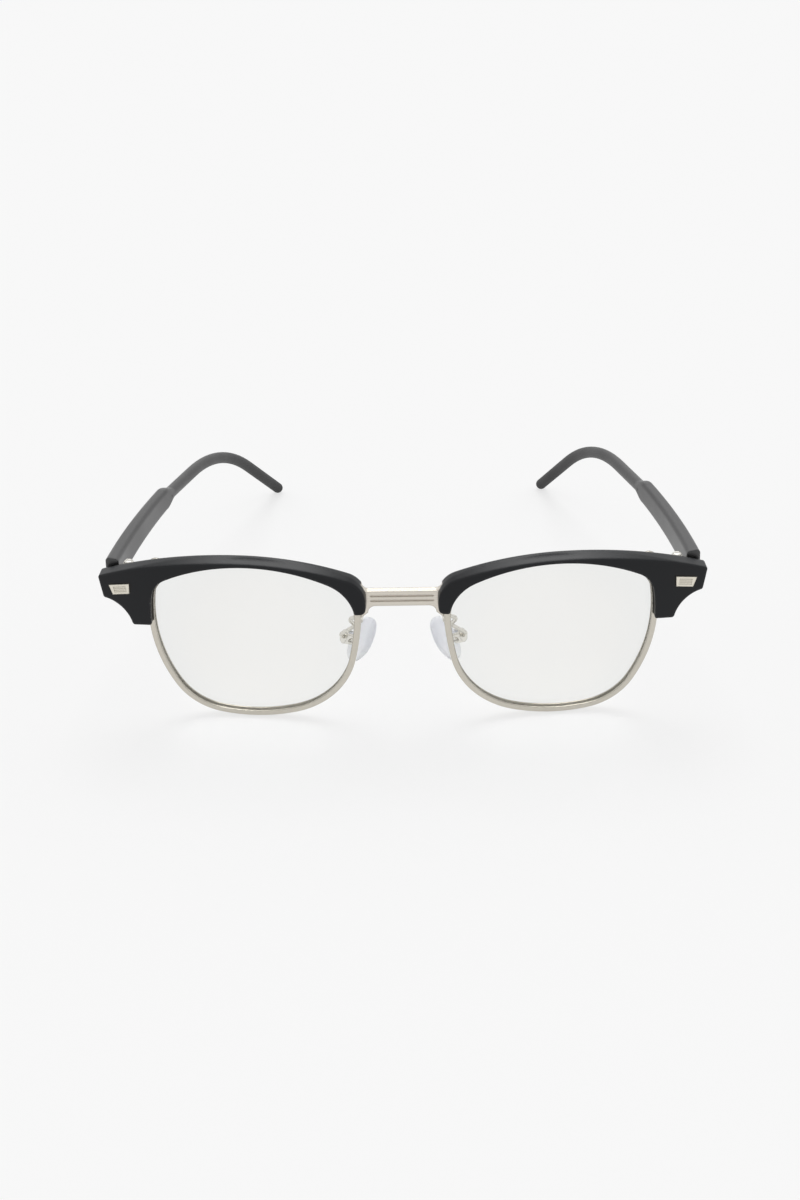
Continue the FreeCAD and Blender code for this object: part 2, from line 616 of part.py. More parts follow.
def sketch_on(body, role, name, lift=None):
    sketch = body.newObject("Sketcher::SketchObject", name)
    sketch.AttachmentSupport = [(origin_part(body, role), "")]
    sketch.MapMode = "FlatFace"
    if lift:
        sketch.setExpression("AttachmentOffset.Base.z", lift)
    return sketch


def add_polygon(sketch, corners):
    # closed lines through corners given as (across, up) rules; returns the number of the first line
    first = sketch.GeometryCount
    count = len(corners)
    turn = 2 * math.pi / count
    seeds = [Vector(math.cos(i * turn), math.sin(i * turn), 0) for i in range(count)]
    for i in range(count):
        sketch.addGeometry(Part.LineSegment(seeds[i], seeds[(i + 1) % count]), False)
    for i in range(count):
        sketch.addConstraint(Sketcher.Constraint("Coincident", first + i, 2, first + (i + 1) % count, 1))
    for i, (across, up) in enumerate(corners):
        pin_down(sketch, first + i, 1, "corner%d_%d" % (first, i), across, up)
    return first


def add_rectangle(sketch, left, right, low, high):
    return add_polygon(sketch, [(left, low), (right, low), (right, high), (left, high)])


def add_circle(sketch, across, up, radius):
    number = sketch.GeometryCount
    sketch.addGeometry(Part.Circle(Vector(0, 0, 0), Vector(0, 0, 1), 1.0), False)
    sketch.addConstraint(Sketcher.Constraint("Radius", number, 1.0))
    name_last(sketch, "radius_%d" % number, radius)
    pin_down(sketch, number, 3, "centre_%d" % number, across, up)
    return number


def pad(body, sketch, name, length, reverse=False, middle=False):
    feature = body.newObject("PartDesign::Pad", name)
    feature.Profile = sketch
    feature.Reversed = reverse
    if middle:
        feature.SideType = "Symmetric"
    return bind(feature, "Length", length)


def pocket(body, sketch, name, depth, reverse=False, middle=False):
    feature = body.newObject("PartDesign::Pocket", name)
    feature.Profile = sketch
    feature.Reversed = reverse
    if middle:
        feature.SideType = "Symmetric"
    return bind(feature, "Length", depth)


def revolve(body, sketch, name):
    feature = body.newObject("PartDesign::Revolution", name)
    feature.Profile = sketch
    feature.ReferenceAxis = (sketch, ["V_Axis"])
    feature.Angle = 360.0
    return feature


def slotted_screw(name, placement, shank, length, head, head_depth):
    # a screw along its own Z: the head above the origin, the shank below it
    body = body_at(name, placement)
    profile = sketch_on(body, "XZ_Plane", name + "_profile")
    add_polygon(profile, [("0", "-(" + length + ")"), (shank, "-(" + length + ")"), (shank, "0"),
                          (head, "0"), (head, "(" + head_depth + ") * Sizes.head_land"),
                          ("(" + head + ") * Sizes.head_crown", head_depth), ("0", head_depth)])
    revolve(body, profile, name + "_turned")
    slot = sketch_on(body, "XY_Plane", name + "_slot", head_depth)
    slot_reach = head + " + Sizes.slot_overrun"
    add_rectangle(slot, "-(" + slot_reach + ")", slot_reach, "-Sizes.slot_width / 2", "Sizes.slot_width / 2")
    pocket(body, slot, name + "_slot_cut", "Sizes.slot_depth")
    return body


def lens_rectangle(name, left, right, low, high):
    sketch = doc.addObject("Sketcher::SketchObject", name)
    sketch.Placement = lens_frame
    add_rectangle(sketch, left, right, low, high)
    return sketch


half = "Sizes.lens_width / 2"

# Insert: a trapezoid plate with a plain border, fine grooves and two pegs, sunk into the end piece
insert_point = on_shell(half_width + size("insert_across"), size("insert_up"), size("brow_front"))
insert_out = (insert_point - curve_centre).normalize()
insert_turn = math.radians(size("insert_turn"))
insert_along = lens_across * math.cos(insert_turn) + lens_up * math.sin(insert_turn)
insert_rotation = FreeCAD.Rotation(insert_along, insert_out.cross(insert_along), insert_out, "ZXY")
insert_floor = FreeCAD.Placement(insert_point - insert_out * size("insert_sunk"), insert_rotation)
insert_left = body_at("brow_insert_left", insert_floor)
plate = sketch_on(insert_left, "XY_Plane", "insert_plate")
add_polygon(plate, [("-Sizes.insert_bottom / 2", "-Sizes.insert_height / 2"),
                    ("Sizes.insert_bottom / 2", "-Sizes.insert_height / 2"),
                    ("Sizes.insert_top / 2", "Sizes.insert_height / 2"),
                    ("-Sizes.insert_top / 2", "Sizes.insert_height / 2")])
pad(insert_left, plate, "insert_pad", "Sizes.insert_sunk + Sizes.insert_proud")
rib = sketch_on(insert_left, "XY_Plane", "insert_rib", "Sizes.insert_sunk + Sizes.insert_proud")
rib_half = "Sizes.insert_bottom / 2 - Sizes.insert_border"
rib_span = "Sizes.rib_pitch * (Sizes.rib_count - 1)"
rib_first = rib_span + " / 2"
add_rectangle(rib, "-(" + rib_half + ")", rib_half,
              "-" + rib_first + " - Sizes.rib_groove / 2", "-" + rib_first + " + Sizes.rib_groove / 2")
rib_cut = pocket(insert_left, rib, "insert_rib_cut", "Sizes.rib_depth")
ribs = insert_left.newObject("PartDesign::LinearPattern", "insert_ribs")
ribs.Originals = [rib_cut]
ribs.Direction = (origin_part(insert_left, "Y_Axis"), [""])
bind(ribs, "Length", rib_span)
bind(ribs, "Occurrences", "Sizes.rib_count")
insert_left.Tip = ribs
pegs = sketch_on(insert_left, "XY_Plane", "insert_pegs")
add_circle(pegs, "-Sizes.peg_spacing / 2", "0", "Sizes.peg_radius")
add_circle(pegs, "Sizes.peg_spacing / 2", "0", "Sizes.peg_radius")
pad(insert_left, pegs, "insert_peg_pads", "Sizes.peg_length", reverse=True)

# Bridge: a bar with two grooves and flared ends, trimmed to both eyewires
bridge_level = lens_centre.z + size("bridge_up") * math.cos(tilt)
bridge_centre = Vector(0, lens_centre.y + size("bridge_set"), bridge_level)
bridge_rotation = FreeCAD.Rotation(Vector(1, 0, 0), lens_up, flat_forward, "ZXY")
bridge_bar = body_at("bridge_bar", FreeCAD.Placement(bridge_centre, bridge_rotation))
bar = sketch_on(bridge_bar, "XY_Plane", "bridge_outline")


def make_bridge_outline(sketch):
    # the left half is drawn first, then its mirror image; arcs turn up at the neck and down at the flare
    straight = size("bridge_straight")
    flare = size("bridge_flare")
    collar = size("bridge_collar")
    neck = size("bridge_neck")
    high = size("bridge_height") / 2
    land = straight + flare + size("bridge_land")
    low = -high - flare
    flat = Vector(0, 0, 1)
    up_left = Part.Circle(Vector(-neck, high + collar, 0), flat, collar)
    up_right = Part.Circle(Vector(neck, high + collar, 0), flat, collar)
    down_left = Part.Circle(Vector(-straight, low, 0), flat, flare)
    down_right = Part.Circle(Vector(straight, low, 0), flat, flare)
    heel = low - size("bridge_heel")
    for piece in (
        Part.LineSegment(Vector(neck, high, 0), Vector(-neck, high, 0)),
        Part.ArcOfCircle(up_left, math.pi, 1.5 * math.pi),
        Part.LineSegment(Vector(-neck - collar, high + collar, 0), Vector(-land, high + collar, 0)),
        Part.LineSegment(Vector(-land, high + collar, 0), Vector(-land, heel, 0)),
        Part.LineSegment(Vector(-land, heel, 0), Vector(-straight - flare, low, 0)),
        Part.ArcOfCircle(down_left, 0.5 * math.pi, math.pi),
        Part.LineSegment(Vector(-straight, -high, 0), Vector(straight, -high, 0)),
        Part.ArcOfCircle(down_right, 0, 0.5 * math.pi),
        Part.LineSegment(Vector(straight + flare, low, 0), Vector(land, heel, 0)),
        Part.LineSegment(Vector(land, heel, 0), Vector(land, high + collar, 0)),
        Part.LineSegment(Vector(land, high + collar, 0), Vector(neck + collar, high + collar, 0)),
        Part.ArcOfCircle(up_right, 1.5 * math.pi, 0),
    ):
        sketch.addGeometry(piece, False)
    for a, a_end, b, b_end in ((2, 2, 3, 1), (3, 2, 4, 1), (8, 2, 9, 1), (9, 2, 10, 1),
                               (1, 1, 2, 1), (4, 2, 5, 2), (7, 1, 8, 1), (10, 2, 11, 2)):
        sketch.addConstraint(Sketcher.Constraint("Coincident", a, a_end, b, b_end))
    for a, a_end, b, b_end in ((0, 2, 1, 2), (5, 1, 6, 1), (6, 2, 7, 2), (11, 1, 0, 1)):
        sketch.addConstraint(Sketcher.Constraint("Tangent", a, a_end, b, b_end))
    for level in (2, 10):
        sketch.addConstraint(Sketcher.Constraint("Horizontal", level))
    for number, alias in ((1, "bridge_collar"), (11, "bridge_collar"),
                          (5, "bridge_flare"), (7, "bridge_flare")):
        sketch.addConstraint(Sketcher.Constraint("Radius", number, size(alias)))
        name_last(sketch, "round_%d" % number, "Sizes." + alias)
    high_rule = "Sizes.bridge_height / 2"
    collar_rule = high_rule + " + Sizes.bridge_collar"
    low_rule = "-" + high_rule + " - Sizes.bridge_flare"
    heel_rule = low_rule + " - Sizes.bridge_heel"
    land_rule = "Sizes.bridge_straight + Sizes.bridge_flare + Sizes.bridge_land"
    pin_down(sketch, 0, 1, "top_right", "Sizes.bridge_neck", high_rule)
    pin_down(sketch, 0, 2, "top_left", "-Sizes.bridge_neck", high_rule)
    pin_down(sketch, 6, 1, "low_left", "-Sizes.bridge_straight", "-" + high_rule)
    pin_down(sketch, 6, 2, "low_right", "Sizes.bridge_straight", "-" + high_rule)
    pin_down(sketch, 5, 2, "flare_left", None, low_rule)
    pin_down(sketch, 7, 1, "flare_right", None, low_rule)
    pin_down(sketch, 3, 1, "land_left_top", "-(" + land_rule + ")", collar_rule)
    pin_down(sketch, 3, 2, "land_left_low", "-(" + land_rule + ")", heel_rule)
    pin_down(sketch, 9, 1, "land_right_low", land_rule, heel_rule)
    pin_down(sketch, 9, 2, "land_right_top", land_rule, collar_rule)


make_bridge_outline(bar)
pad(bridge_bar, bar, "bridge_pad", "Sizes.bridge_depth", middle=True)


def make_flute(sketch, up_rule, up):
    reach = size("flute_length") / 2 - size("flute_radius")
    radius = size("flute_radius")
    first = sketch.GeometryCount
    sketch.addGeometry(Part.LineSegment(Vector(reach, up + radius, 0), Vector(-reach, up + radius, 0)), False)
    sketch.addGeometry(Part.ArcOfCircle(Part.Circle(Vector(-reach, up, 0), Vector(0, 0, 1), radius),
                                        0.5 * math.pi, 1.5 * math.pi), False)
    sketch.addGeometry(Part.LineSegment(Vector(-reach, up - radius, 0), Vector(reach, up - radius, 0)), False)
    sketch.addGeometry(Part.ArcOfCircle(Part.Circle(Vector(reach, up, 0), Vector(0, 0, 1), radius),
                                        -0.5 * math.pi, 0.5 * math.pi), False)
    for i in range(4):
        a = first + i
        b = first + (i + 1) % 4
        sketch.addConstraint(Sketcher.Constraint("Tangent", a, 2, b, 1))
    sketch.addConstraint(Sketcher.Constraint("Radius", first + 1, radius))
    name_last(sketch, "flute_%d" % first, "Sizes.flute_radius")
    reach_rule = "Sizes.flute_length / 2 - Sizes.flute_radius"
    pin_down(sketch, first + 1, 3, "flute_left_%d" % first, "-(" + reach_rule + ")", up_rule)
    pin_down(sketch, first + 3, 3, "flute_right_%d" % first, reach_rule, up_rule)


flutes = sketch_on(bridge_bar, "XY_Plane", "bridge_flutes", "Sizes.bridge_depth / 2")
make_flute(flutes, "Sizes.flute_spacing / 2", size("flute_spacing") / 2)
make_flute(flutes, "-Sizes.flute_spacing / 2", -size("flute_spacing") / 2)
pocket(bridge_bar, flutes, "bridge_flute_cut", "Sizes.flute_depth")


def mirror(source, label):
    twin = doc.addObject("Part::Mirroring", label)
    twin.Source = source
    twin.Base = Vector(0, 0, 0)
    twin.Normal = Vector(1, 0, 0)
    twin.Label = label
    return twin


bridge = carve("bridge", bridge_bar, rim_outer, mirror(rim_outer, "rim_outer_twin"))

# Closing blocks: two halves on the temple side of the eyewire, a slit between them and a screw through both
lock_start = half + " + Sizes.rim_wall - Sizes.lock_root"
lock_finish = half + " + Sizes.rim_wall + Sizes.lock_reach"
lock_low = "Sizes.lock_up - Sizes.lock_height"
lock_high = "Sizes.lock_up + Sizes.lock_height"
lock_slit_outline = lens_rectangle("lock_slit_outline", half + " - Sizes.lock_reach",
                                   lock_finish + " + Sizes.lock_root",
                                   "Sizes.lock_up - Sizes.lock_slit / 2",
                                   "Sizes.lock_up + Sizes.lock_slit / 2")
lock_slit = prism("lock_slit", lock_slit_outline)
eyewire_left = carve("eyewire_left", eyewire_ring, lock_slit)
lock_across = half_width + size("rim_wall") + size("lock_reach") / 2
lock_top = on_shell(lock_across, size("lock_up") + size("lock_height"), 0)
lock_axis = FreeCAD.Rotation(lens_across, lens_forward * -1, lens_up, "ZXY")
lock_screw_left = slotted_screw("rim_lock_screw_left", FreeCAD.Placement(lock_top, lock_axis),
                                "Sizes.lock_screw", "Sizes.lock_height * 2", "Sizes.lock_head",
                                "Sizes.lock_head_depth")


def lock_half(name, low, high):
    block = prism(name + "_prism", lens_rectangle(name + "_outline", lock_start, lock_finish, low, high))
    curved = shell(name + "_curved", block, half_rim, "-" + half_rim)
    return carve(name, curved, rim_outer, lock_screw_left)


lock_upper_left = lock_half("rim_lock_upper_left", "Sizes.lock_up + Sizes.lock_slit / 2", lock_high)
lock_lower_left = lock_half("rim_lock_lower_left", lock_low, "Sizes.lock_up - Sizes.lock_slit / 2")

# Brow tab: a disc on the back of the eyewire and the brow, with a screw into the brow
tab_across = half_width + size("tab_across")
tab_back = on_shell(tab_across, size("tab_up"), -size("rim_depth") / 2 - size("tab_thickness"))
tab_in = (tab_back - curve_centre).normalize()
tab_rotation = FreeCAD.Rotation(Vector(0, 0, 1), tab_in * -1)
brow_screw_left = slotted_screw("brow_screw_left", FreeCAD.Placement(tab_back, tab_rotation),
                                "Sizes.tab_screw", "Sizes.tab_screw_length", "Sizes.tab_head",
                                "Sizes.tab_head_depth")
tab_sketch = doc.addObject("Sketcher::SketchObject", "tab_outline")
tab_sketch.Placement = lens_frame
add_circle(tab_sketch, half + " + Sizes.tab_across", "Sizes.tab_up", "Sizes.tab_radius")
tab_disc = shell("tab_disc", prism("tab_prism", tab_sketch), "-" + half_rim,
                 "-" + half_rim + " - Sizes.tab_thickness")
brow_tab_left = carve("brow_tab_left", tab_disc, brow_screw_left)

# Bays behind the brow for the eyewire, the end of the bridge and the closing blocks
bay_front = ball("bay_front", half_rim + " + Sizes.brow_play")
bay_grow = size("rim_wall") + size("brow_play")
bay_outline = make_outline("bay_outline", bay_grow, "Sizes.rim_wall + Sizes.brow_play")
rim_bay = common("rim_bay", prism("bay_prism", bay_outline), bay_front)
nose_bay_outline = lens_rectangle("nose_bay_outline",
                                  "-" + half + " - Sizes.brow_nose_side - Sizes.bay_overrun",
                                  "-" + half + " + Sizes.bay_reach",
                                  "Sizes.brow_nose_foot - Sizes.bay_overrun", "Sizes.bay_top")
nose_bay = common("nose_bay", prism("nose_bay_prism", nose_bay_outline), bay_front)
lock_bay_outline = lens_rectangle("lock_bay_outline", half, lock_finish + " + Sizes.lock_room",
                                  lock_low + " - Sizes.lock_room",
                                  lock_high + " + Sizes.lock_head_depth + Sizes.lock_room")
lock_bay = common("lock_bay", prism("lock_bay_prism", lock_bay_outline), bay_front)

# Hinge: front leaf let into the end piece, temple leaf buried in the bar, and a screw down the barrel
hinge_back = on_shell(half_width + size("hinge_across"), size("hinge_up"), -size("rim_depth") / 2)
hinge_normal = curve_centre - hinge_back
hinge_normal.z = 0
hinge_normal.normalize()
hinge_axis = hinge_back + hinge_normal * size("hinge_stand")
hinge_side = Vector(hinge_normal.y, -hinge_normal.x, 0)
front_leaf_turn = FreeCAD.Rotation(hinge_side, hinge_normal, Vector(0, 0, 1), "ZXY")
front_leaf_frame = FreeCAD.Placement(hinge_axis, front_leaf_turn)
temple_frame = FreeCAD.Placement(hinge_axis, FreeCAD.Rotation(Vector(0, 0, 1), size("bar_toe")))


def slab(body, name, left, right, near, far, base, height):
    sketch = sketch_on(body, "XY_Plane", name + "_outline", base)
    add_rectangle(sketch, left, right, near, far)
    return pad(body, sketch, name, height)


def slab_cut(body, name, left, right, near, far, top, depth):
    sketch = sketch_on(body, "XY_Plane", name + "_outline", top)
    add_rectangle(sketch, left, right, near, far)
    return pocket(body, sketch, name, depth)


def post(body, name, radius, base, height):
    sketch = sketch_on(body, "XY_Plane", name + "_outline", base)
    add_circle(sketch, "0", "0", radius)
    return pad(body, sketch, name, height)


def post_cut(body, name, radius, top, depth):
    sketch = sketch_on(body, "XY_Plane", name + "_outline", top)
    add_circle(sketch, "0", "0", radius)
    return pocket(body, sketch, name, depth)


half_barrel = "Sizes.hinge_height / 2"
half_knuckle = "Sizes.knuckle_height / 2"
bore_radius = "Sizes.pin_radius + Sizes.pin_play"
sweep_room = "Sizes.barrel_radius + Sizes.knuckle_room"
front_hinge_left = body_at("front_hinge_left", front_leaf_frame)
slab(front_hinge_left, "front_leaf", "-Sizes.leaf_inner", "Sizes.leaf_outer",
     "-Sizes.hinge_stand - Sizes.leaf_sunk", "-Sizes.hinge_stand + Sizes.leaf_proud",
     "-Sizes.front_leaf_height / 2", "Sizes.front_leaf_height")
slab(front_hinge_left, "front_web", "-Sizes.web_inner", "Sizes.web_outer",
     "-Sizes.hinge_stand", "0", "-" + half_barrel, "Sizes.hinge_height")
post(front_hinge_left, "front_barrel", "Sizes.barrel_radius", "-" + half_barrel, "Sizes.hinge_height")
slab_cut(front_hinge_left, "front_gap", "-(" + sweep_room + ")", sweep_room,
         "-(" + sweep_room + ")", sweep_room,
         half_knuckle + " + Sizes.barrel_gap", "Sizes.knuckle_height + 2 * Sizes.barrel_gap")
post_cut(front_hinge_left, "front_bore", bore_radius, half_barrel, "Sizes.hinge_height")

temple_hinge_left = body_at("temple_hinge_left", temple_frame)
leaf_far = "Sizes.leaf_start + Sizes.leaf_length"
leaf_face = "Sizes.temple_inset + Sizes.leaf_cover"
leaf_floor = leaf_face + " + Sizes.leaf_thickness"
leaf_base = "Sizes.temple_rise - Sizes.leaf_height / 2"
web_far = "Sizes.leaf_start + Sizes.web_overlap"
slab(temple_hinge_left, "temple_leaf", leaf_face, leaf_floor, "Sizes.leaf_start", leaf_far,
     leaf_base, "Sizes.leaf_height")
slab(temple_hinge_left, "temple_web", "0", leaf_floor, "0", web_far,
     "-" + half_knuckle, "Sizes.knuckle_height")
tang_floor = leaf_face + " + Sizes.tang_depth"
tang_near = leaf_far + " - Sizes.tang_length"
tang_base = "Sizes.temple_rise - Sizes.tang_height / 2"
slab(temple_hinge_left, "temple_tang", leaf_face, tang_floor, tang_near, leaf_far,
     tang_base, "Sizes.tang_height")
post(temple_hinge_left, "temple_knuckle", "Sizes.barrel_radius", "-" + half_knuckle, "Sizes.knuckle_height")
post_cut(temple_hinge_left, "temple_bore", bore_radius, half_knuckle, "Sizes.knuckle_height")

barrel_rise = FreeCAD.Placement(Vector(0, 0, size("hinge_height") / 2), FreeCAD.Rotation())
barrel_top = front_leaf_frame.multiply(barrel_rise)
hinge_screw_left = slotted_screw("hinge_screw_left", barrel_top, "Sizes.pin_radius", "Sizes.hinge_height",
                                 "Sizes.pin_head", "Sizes.pin_head_depth")

# Temple: a bowed bar, a shoulder and a slim round end that bends down to the table
bow = size("bar_bow")
bar_side = size("temple_inset") + size("bar_front_width") / 2
bar_start = temple_frame.multVec(Vector(bar_side, 0, size("temple_rise")))


def bar_heading(station):
    return math.radians(size("bar_toe")) + station / bow


def bar_point(station):
    start = bar_heading(0)
    heading = bar_heading(station)
    fall = station * math.tan(math.radians(size("bar_dip")))
    return bar_start + Vector(bow * (math.cos(heading) - math.cos(start)),
                              bow * (math.sin(heading) - math.sin(start)), -fall)


def direction(toe, dip):
    # unit vector to the rear, turned inward by toe and down by dip, both in radians
    return Vector(-math.sin(toe) * math.cos(dip), math.cos(toe) * math.cos(dip), -math.sin(dip))


def across_path(point, heading):
    # a frame for a cross-section: X inward, Y up, Z along the path
    inward = Vector(0, 0, 1).cross(heading).normalize()
    return FreeCAD.Placement(point, FreeCAD.Rotation(inward, heading.cross(inward), heading, "ZXY"))


def section(name, frame, width, height, rounding):
    # a rounded rectangle; width, height and rounding are rules
    sketch = doc.addObject("Sketcher::SketchObject", name)
    sketch.Placement = frame
    # drawn at first as a unit shape, then set to size by its constraints
    for i, side in enumerate((Vector(0, -2, 0), Vector(2, 0, 0), Vector(0, 2, 0), Vector(-2, 0, 0))):
        along = Vector(-side.y, side.x, 0) / 2
        sketch.addGeometry(Part.LineSegment(side - along, side + along), False)
        centre = side / 2 + along
        start = (i - 1) * math.pi / 2
        circle = Part.Circle(centre, Vector(0, 0, 1), 1.0)
        sketch.addGeometry(Part.ArcOfCircle(circle, start, start + math.pi / 2), False)
    for i in range(8):
        sketch.addConstraint(Sketcher.Constraint("Tangent", i, 2, (i + 1) % 8, 1))
    sketch.addConstraint(Sketcher.Constraint("Radius", 1, 1.0))
    name_last(sketch, "rounding", rounding)
    for i in (3, 5, 7):
        sketch.addConstraint(Sketcher.Constraint("Equal", 1, i))
    half_w = "((" + width + ") / 2 - (" + rounding + "))"
    half_h = "((" + height + ") / 2 - (" + rounding + "))"
    for number, across, up in ((1, half_w, "-" + half_h), (3, half_w, half_h),
                               (5, "-" + half_w, half_h), (7, "-" + half_w, "-" + half_h)):
        pin_down(sketch, number, 3, "corner%d" % number, across, up)
    return sketch


def blend(first, second, share):
    return "%s + (%s - (%s)) * %.2f" % (first, second, first, share)


bar_ahead = size("bar_ahead")
bar_reach = size("bar_length") + bar_ahead
bar_spans = 3
bar_sections = []
for i in range(bar_spans + 1):
    share = i / bar_spans
    station = bar_reach * share - bar_ahead
    frame = across_path(bar_point(station), direction(bar_heading(station), math.radians(size("bar_dip"))))
    bar_sections.append(section("bar_section_%d" % i, frame,
                                blend("Sizes.bar_front_width", "Sizes.bar_rear_width", share),
                                blend("Sizes.bar_front_height", "Sizes.bar_rear_height", share),
                                "Sizes.bar_round"))

shoulder = bar_point(size("bar_length"))
slim_way = direction(math.radians(size("slim_toe")), math.radians(size("slim_dip")))
slim_size = "Sizes.slim_radius * 2 * Sizes.slim_fit"
# each step of the shoulder: how far along it lies and how much of the taper is done there
shoulder_steps = ((0.28, 0.14), (0.62, 0.70), (1.0, 1.0))
slim_round = "Sizes.slim_radius * Sizes.slim_fit_round"
shoulder_sections = [bar_sections[-1]]
for number, (share, taper) in enumerate(shoulder_steps, start=1):
    frame = across_path(shoulder + slim_way * size("shoulder_length") * share, slim_way)
    shoulder_sections.append(section("shoulder_section_%d" % number, frame,
                                     blend("Sizes.bar_rear_width", slim_size, taper),
                                     blend("Sizes.bar_rear_height", slim_size, taper),
                                     blend("Sizes.bar_round", slim_round, taper)))


def loft(name, sections):
    blended = doc.addObject("Part::Loft", name)
    blended.Sections = sections
    blended.Solid = True
    return blended


def rounded_path(points, radii):
    # straight runs between points, with an arc of a given radius at every inner point
    edges = []
    start = points[0]
    for before, corner, after, radius in zip(points, points[1:], points[2:], radii):
        to_back = (before - corner).normalize()
        to_front = (after - corner).normalize()
        opening = to_back.getAngle(to_front)
        setback = radius / math.tan(opening / 2)
        inside = (to_back + to_front).normalize()
        middle = corner + inside * (radius / math.sin(opening / 2) - radius)
        first = corner + to_back * setback
        last = corner + to_front * setback
        edges.append(Part.makeLine(start, first))
        edges.append(Part.Arc(first, middle, last).toShape())
        start = last
    edges.append(Part.makeLine(start, points[-1]))
    return Part.Wire(edges)


def wire_sweep(name, points, radii, thickness):
    # a round bar along straight runs and arcs
    path = doc.addObject("Part::Feature", name + "_path")
    path.Shape = rounded_path(points, radii)
    profile = doc.addObject("Part::Circle", name + "_profile")
    profile.Placement = FreeCAD.Placement(points[0], FreeCAD.Rotation(Vector(0, 0, 1), points[1] - points[0]))
    bind(profile, "Radius", thickness)
    bar = doc.addObject("Part::Sweep", name)
    bar.Sections = [profile]
    bar.Spine = (path, ["Edge%d" % (i + 1) for i in range(len(path.Shape.Edges))])
    bar.Solid = True
    return bar


bend = shoulder + slim_way * size("slim_run")
drop_way = direction(math.radians(size("drop_toe")), math.radians(size("drop_dip")))
drop_dip = math.radians(size("drop_dip"))
tip_flat = size("slim_radius") - size("slim_tip")
# the rounded free end just touches the table
tip_rise = tip_flat * math.cos(drop_dip) + size("slim_tip") * (1 - math.sin(drop_dip))
tip = bend + drop_way * ((bend.z - tip_rise) / math.sin(drop_dip))
slim_start = shoulder + slim_way * size("shoulder_length") / 2
slim_rod = wire_sweep("slim_rod", [slim_start, bend, tip], [size("bend_radius")], "Sizes.slim_radius")


def at_tip(edge):
    off_axis = (middle_of(edge) - tip).Length - size("slim_radius")
    return abs(off_axis) < close and isinstance(edge.Curve, Part.Circle)


slim_end = round_edges("slim_end", slim_rod, "slim_tip", at_tip)
temple_solid = join("temple_solid", loft("temple_bar", bar_sections),
                    loft("temple_shoulder", shoulder_sections), slim_end)
butt_ball = ball("butt_ball", "-" + half_rim + " - Sizes.butt_gap")
temple_trimmed = common("temple_trimmed", temple_solid, butt_ball)

# Stiffening wire from the hinge leaf almost to the tip
core_start = temple_frame.multVec(Vector(bar_side - size("core_inset"),
                                         size("leaf_start") + size("leaf_length"), size("temple_rise")))
core_end = tip - drop_way * size("core_short")
temple_core_left = wire_sweep("temple_core_left", [core_start, shoulder, bend, core_end],
                              [size("core_turn"), size("bend_radius")], "Sizes.core_radius")

# Room in the temple for the hinge leaf and its web
temple_room = body_at("temple_room", temple_frame)
slab(temple_room, "leaf_room", leaf_face, leaf_floor, "Sizes.leaf_start", leaf_far,
     leaf_base, "Sizes.leaf_height")
slab(temple_room, "web_room", "0", leaf_floor, "0", web_far, "-" + half_knuckle, "Sizes.knuckle_height")
slab(temple_room, "tang_room", leaf_face, tang_floor, tang_near, leaf_far, tang_base, "Sizes.tang_height")
temple_left = carve("temple_left", temple_trimmed, temple_room, temple_core_left)

# Nose pad on a stem, held by a screw in a small box at the end of a bent wire arm
lean = math.radians(size("pad_lean"))
splay = math.radians(size("pad_splay"))
pad_long = Vector(-math.sin(lean), 0, math.cos(lean))
pad_in = Vector(-math.cos(lean) * math.cos(splay), math.sin(splay), -math.sin(lean) * math.cos(splay))
pad_frame = FreeCAD.Placement(Vector(size("pad_across"), lens_centre.y + size("pad_back"), size("pad_up")),
                              FreeCAD.Rotation(pad_long.cross(pad_in), pad_long, pad_in, "ZXY"))
nose_pad_left = body_at("nose_pad_left", pad_frame)
cushion = sketch_on(nose_pad_left, "XY_Plane", "pad_outline")


def make_pad_outline(sketch):
    # an oval of two side arcs and two end arcs
    end_radius = size("pad_width") * size("pad_end")
    long_half = size("pad_length") / 2
    wide_half = size("pad_width") / 2
    rise = long_half - end_radius
    side_radius = (rise ** 2 + wide_half ** 2 - end_radius ** 2) / (2 * (wide_half - end_radius))
    turn = math.atan2(rise, side_radius - wide_half)
    flat = Vector(0, 0, 1)
    sketch.addGeometry(Part.ArcOfCircle(Part.Circle(Vector(wide_half - side_radius, 0, 0), flat, side_radius),
                                        -turn, turn), False)
    sketch.addGeometry(Part.ArcOfCircle(Part.Circle(Vector(0, rise, 0), flat, end_radius),
                                        turn, math.pi - turn), False)
    sketch.addGeometry(Part.ArcOfCircle(Part.Circle(Vector(side_radius - wide_half, 0, 0), flat, side_radius),
                                        math.pi - turn, math.pi + turn), False)
    sketch.addGeometry(Part.ArcOfCircle(Part.Circle(Vector(0, -rise, 0), flat, end_radius),
                                        math.pi + turn, 2 * math.pi - turn), False)
    for i in range(4):
        sketch.addConstraint(Sketcher.Constraint("Tangent", i, 2, (i + 1) % 4, 1))
    for i in (1, 3):
        sketch.addConstraint(Sketcher.Constraint("Radius", i, end_radius))
        name_last(sketch, "end_%d" % i, "Sizes.pad_width * Sizes.pad_end")
    rise_rule = "(Sizes.pad_length / 2 - Sizes.pad_width * Sizes.pad_end)"
    pin_down(sketch, 1, 3, "upper", "0", rise_rule)
    pin_down(sketch, 3, 3, "lower", "0", "-" + rise_rule)


make_pad_outline(cushion)
pad(nose_pad_left, cushion, "pad_cushion", "Sizes.pad_thickness")
doc.recompute()


def on_pad_rim(edge):
    # an arc of the oval, on the front or the back of the cushion
    return isinstance(edge.Curve, Part.Circle)


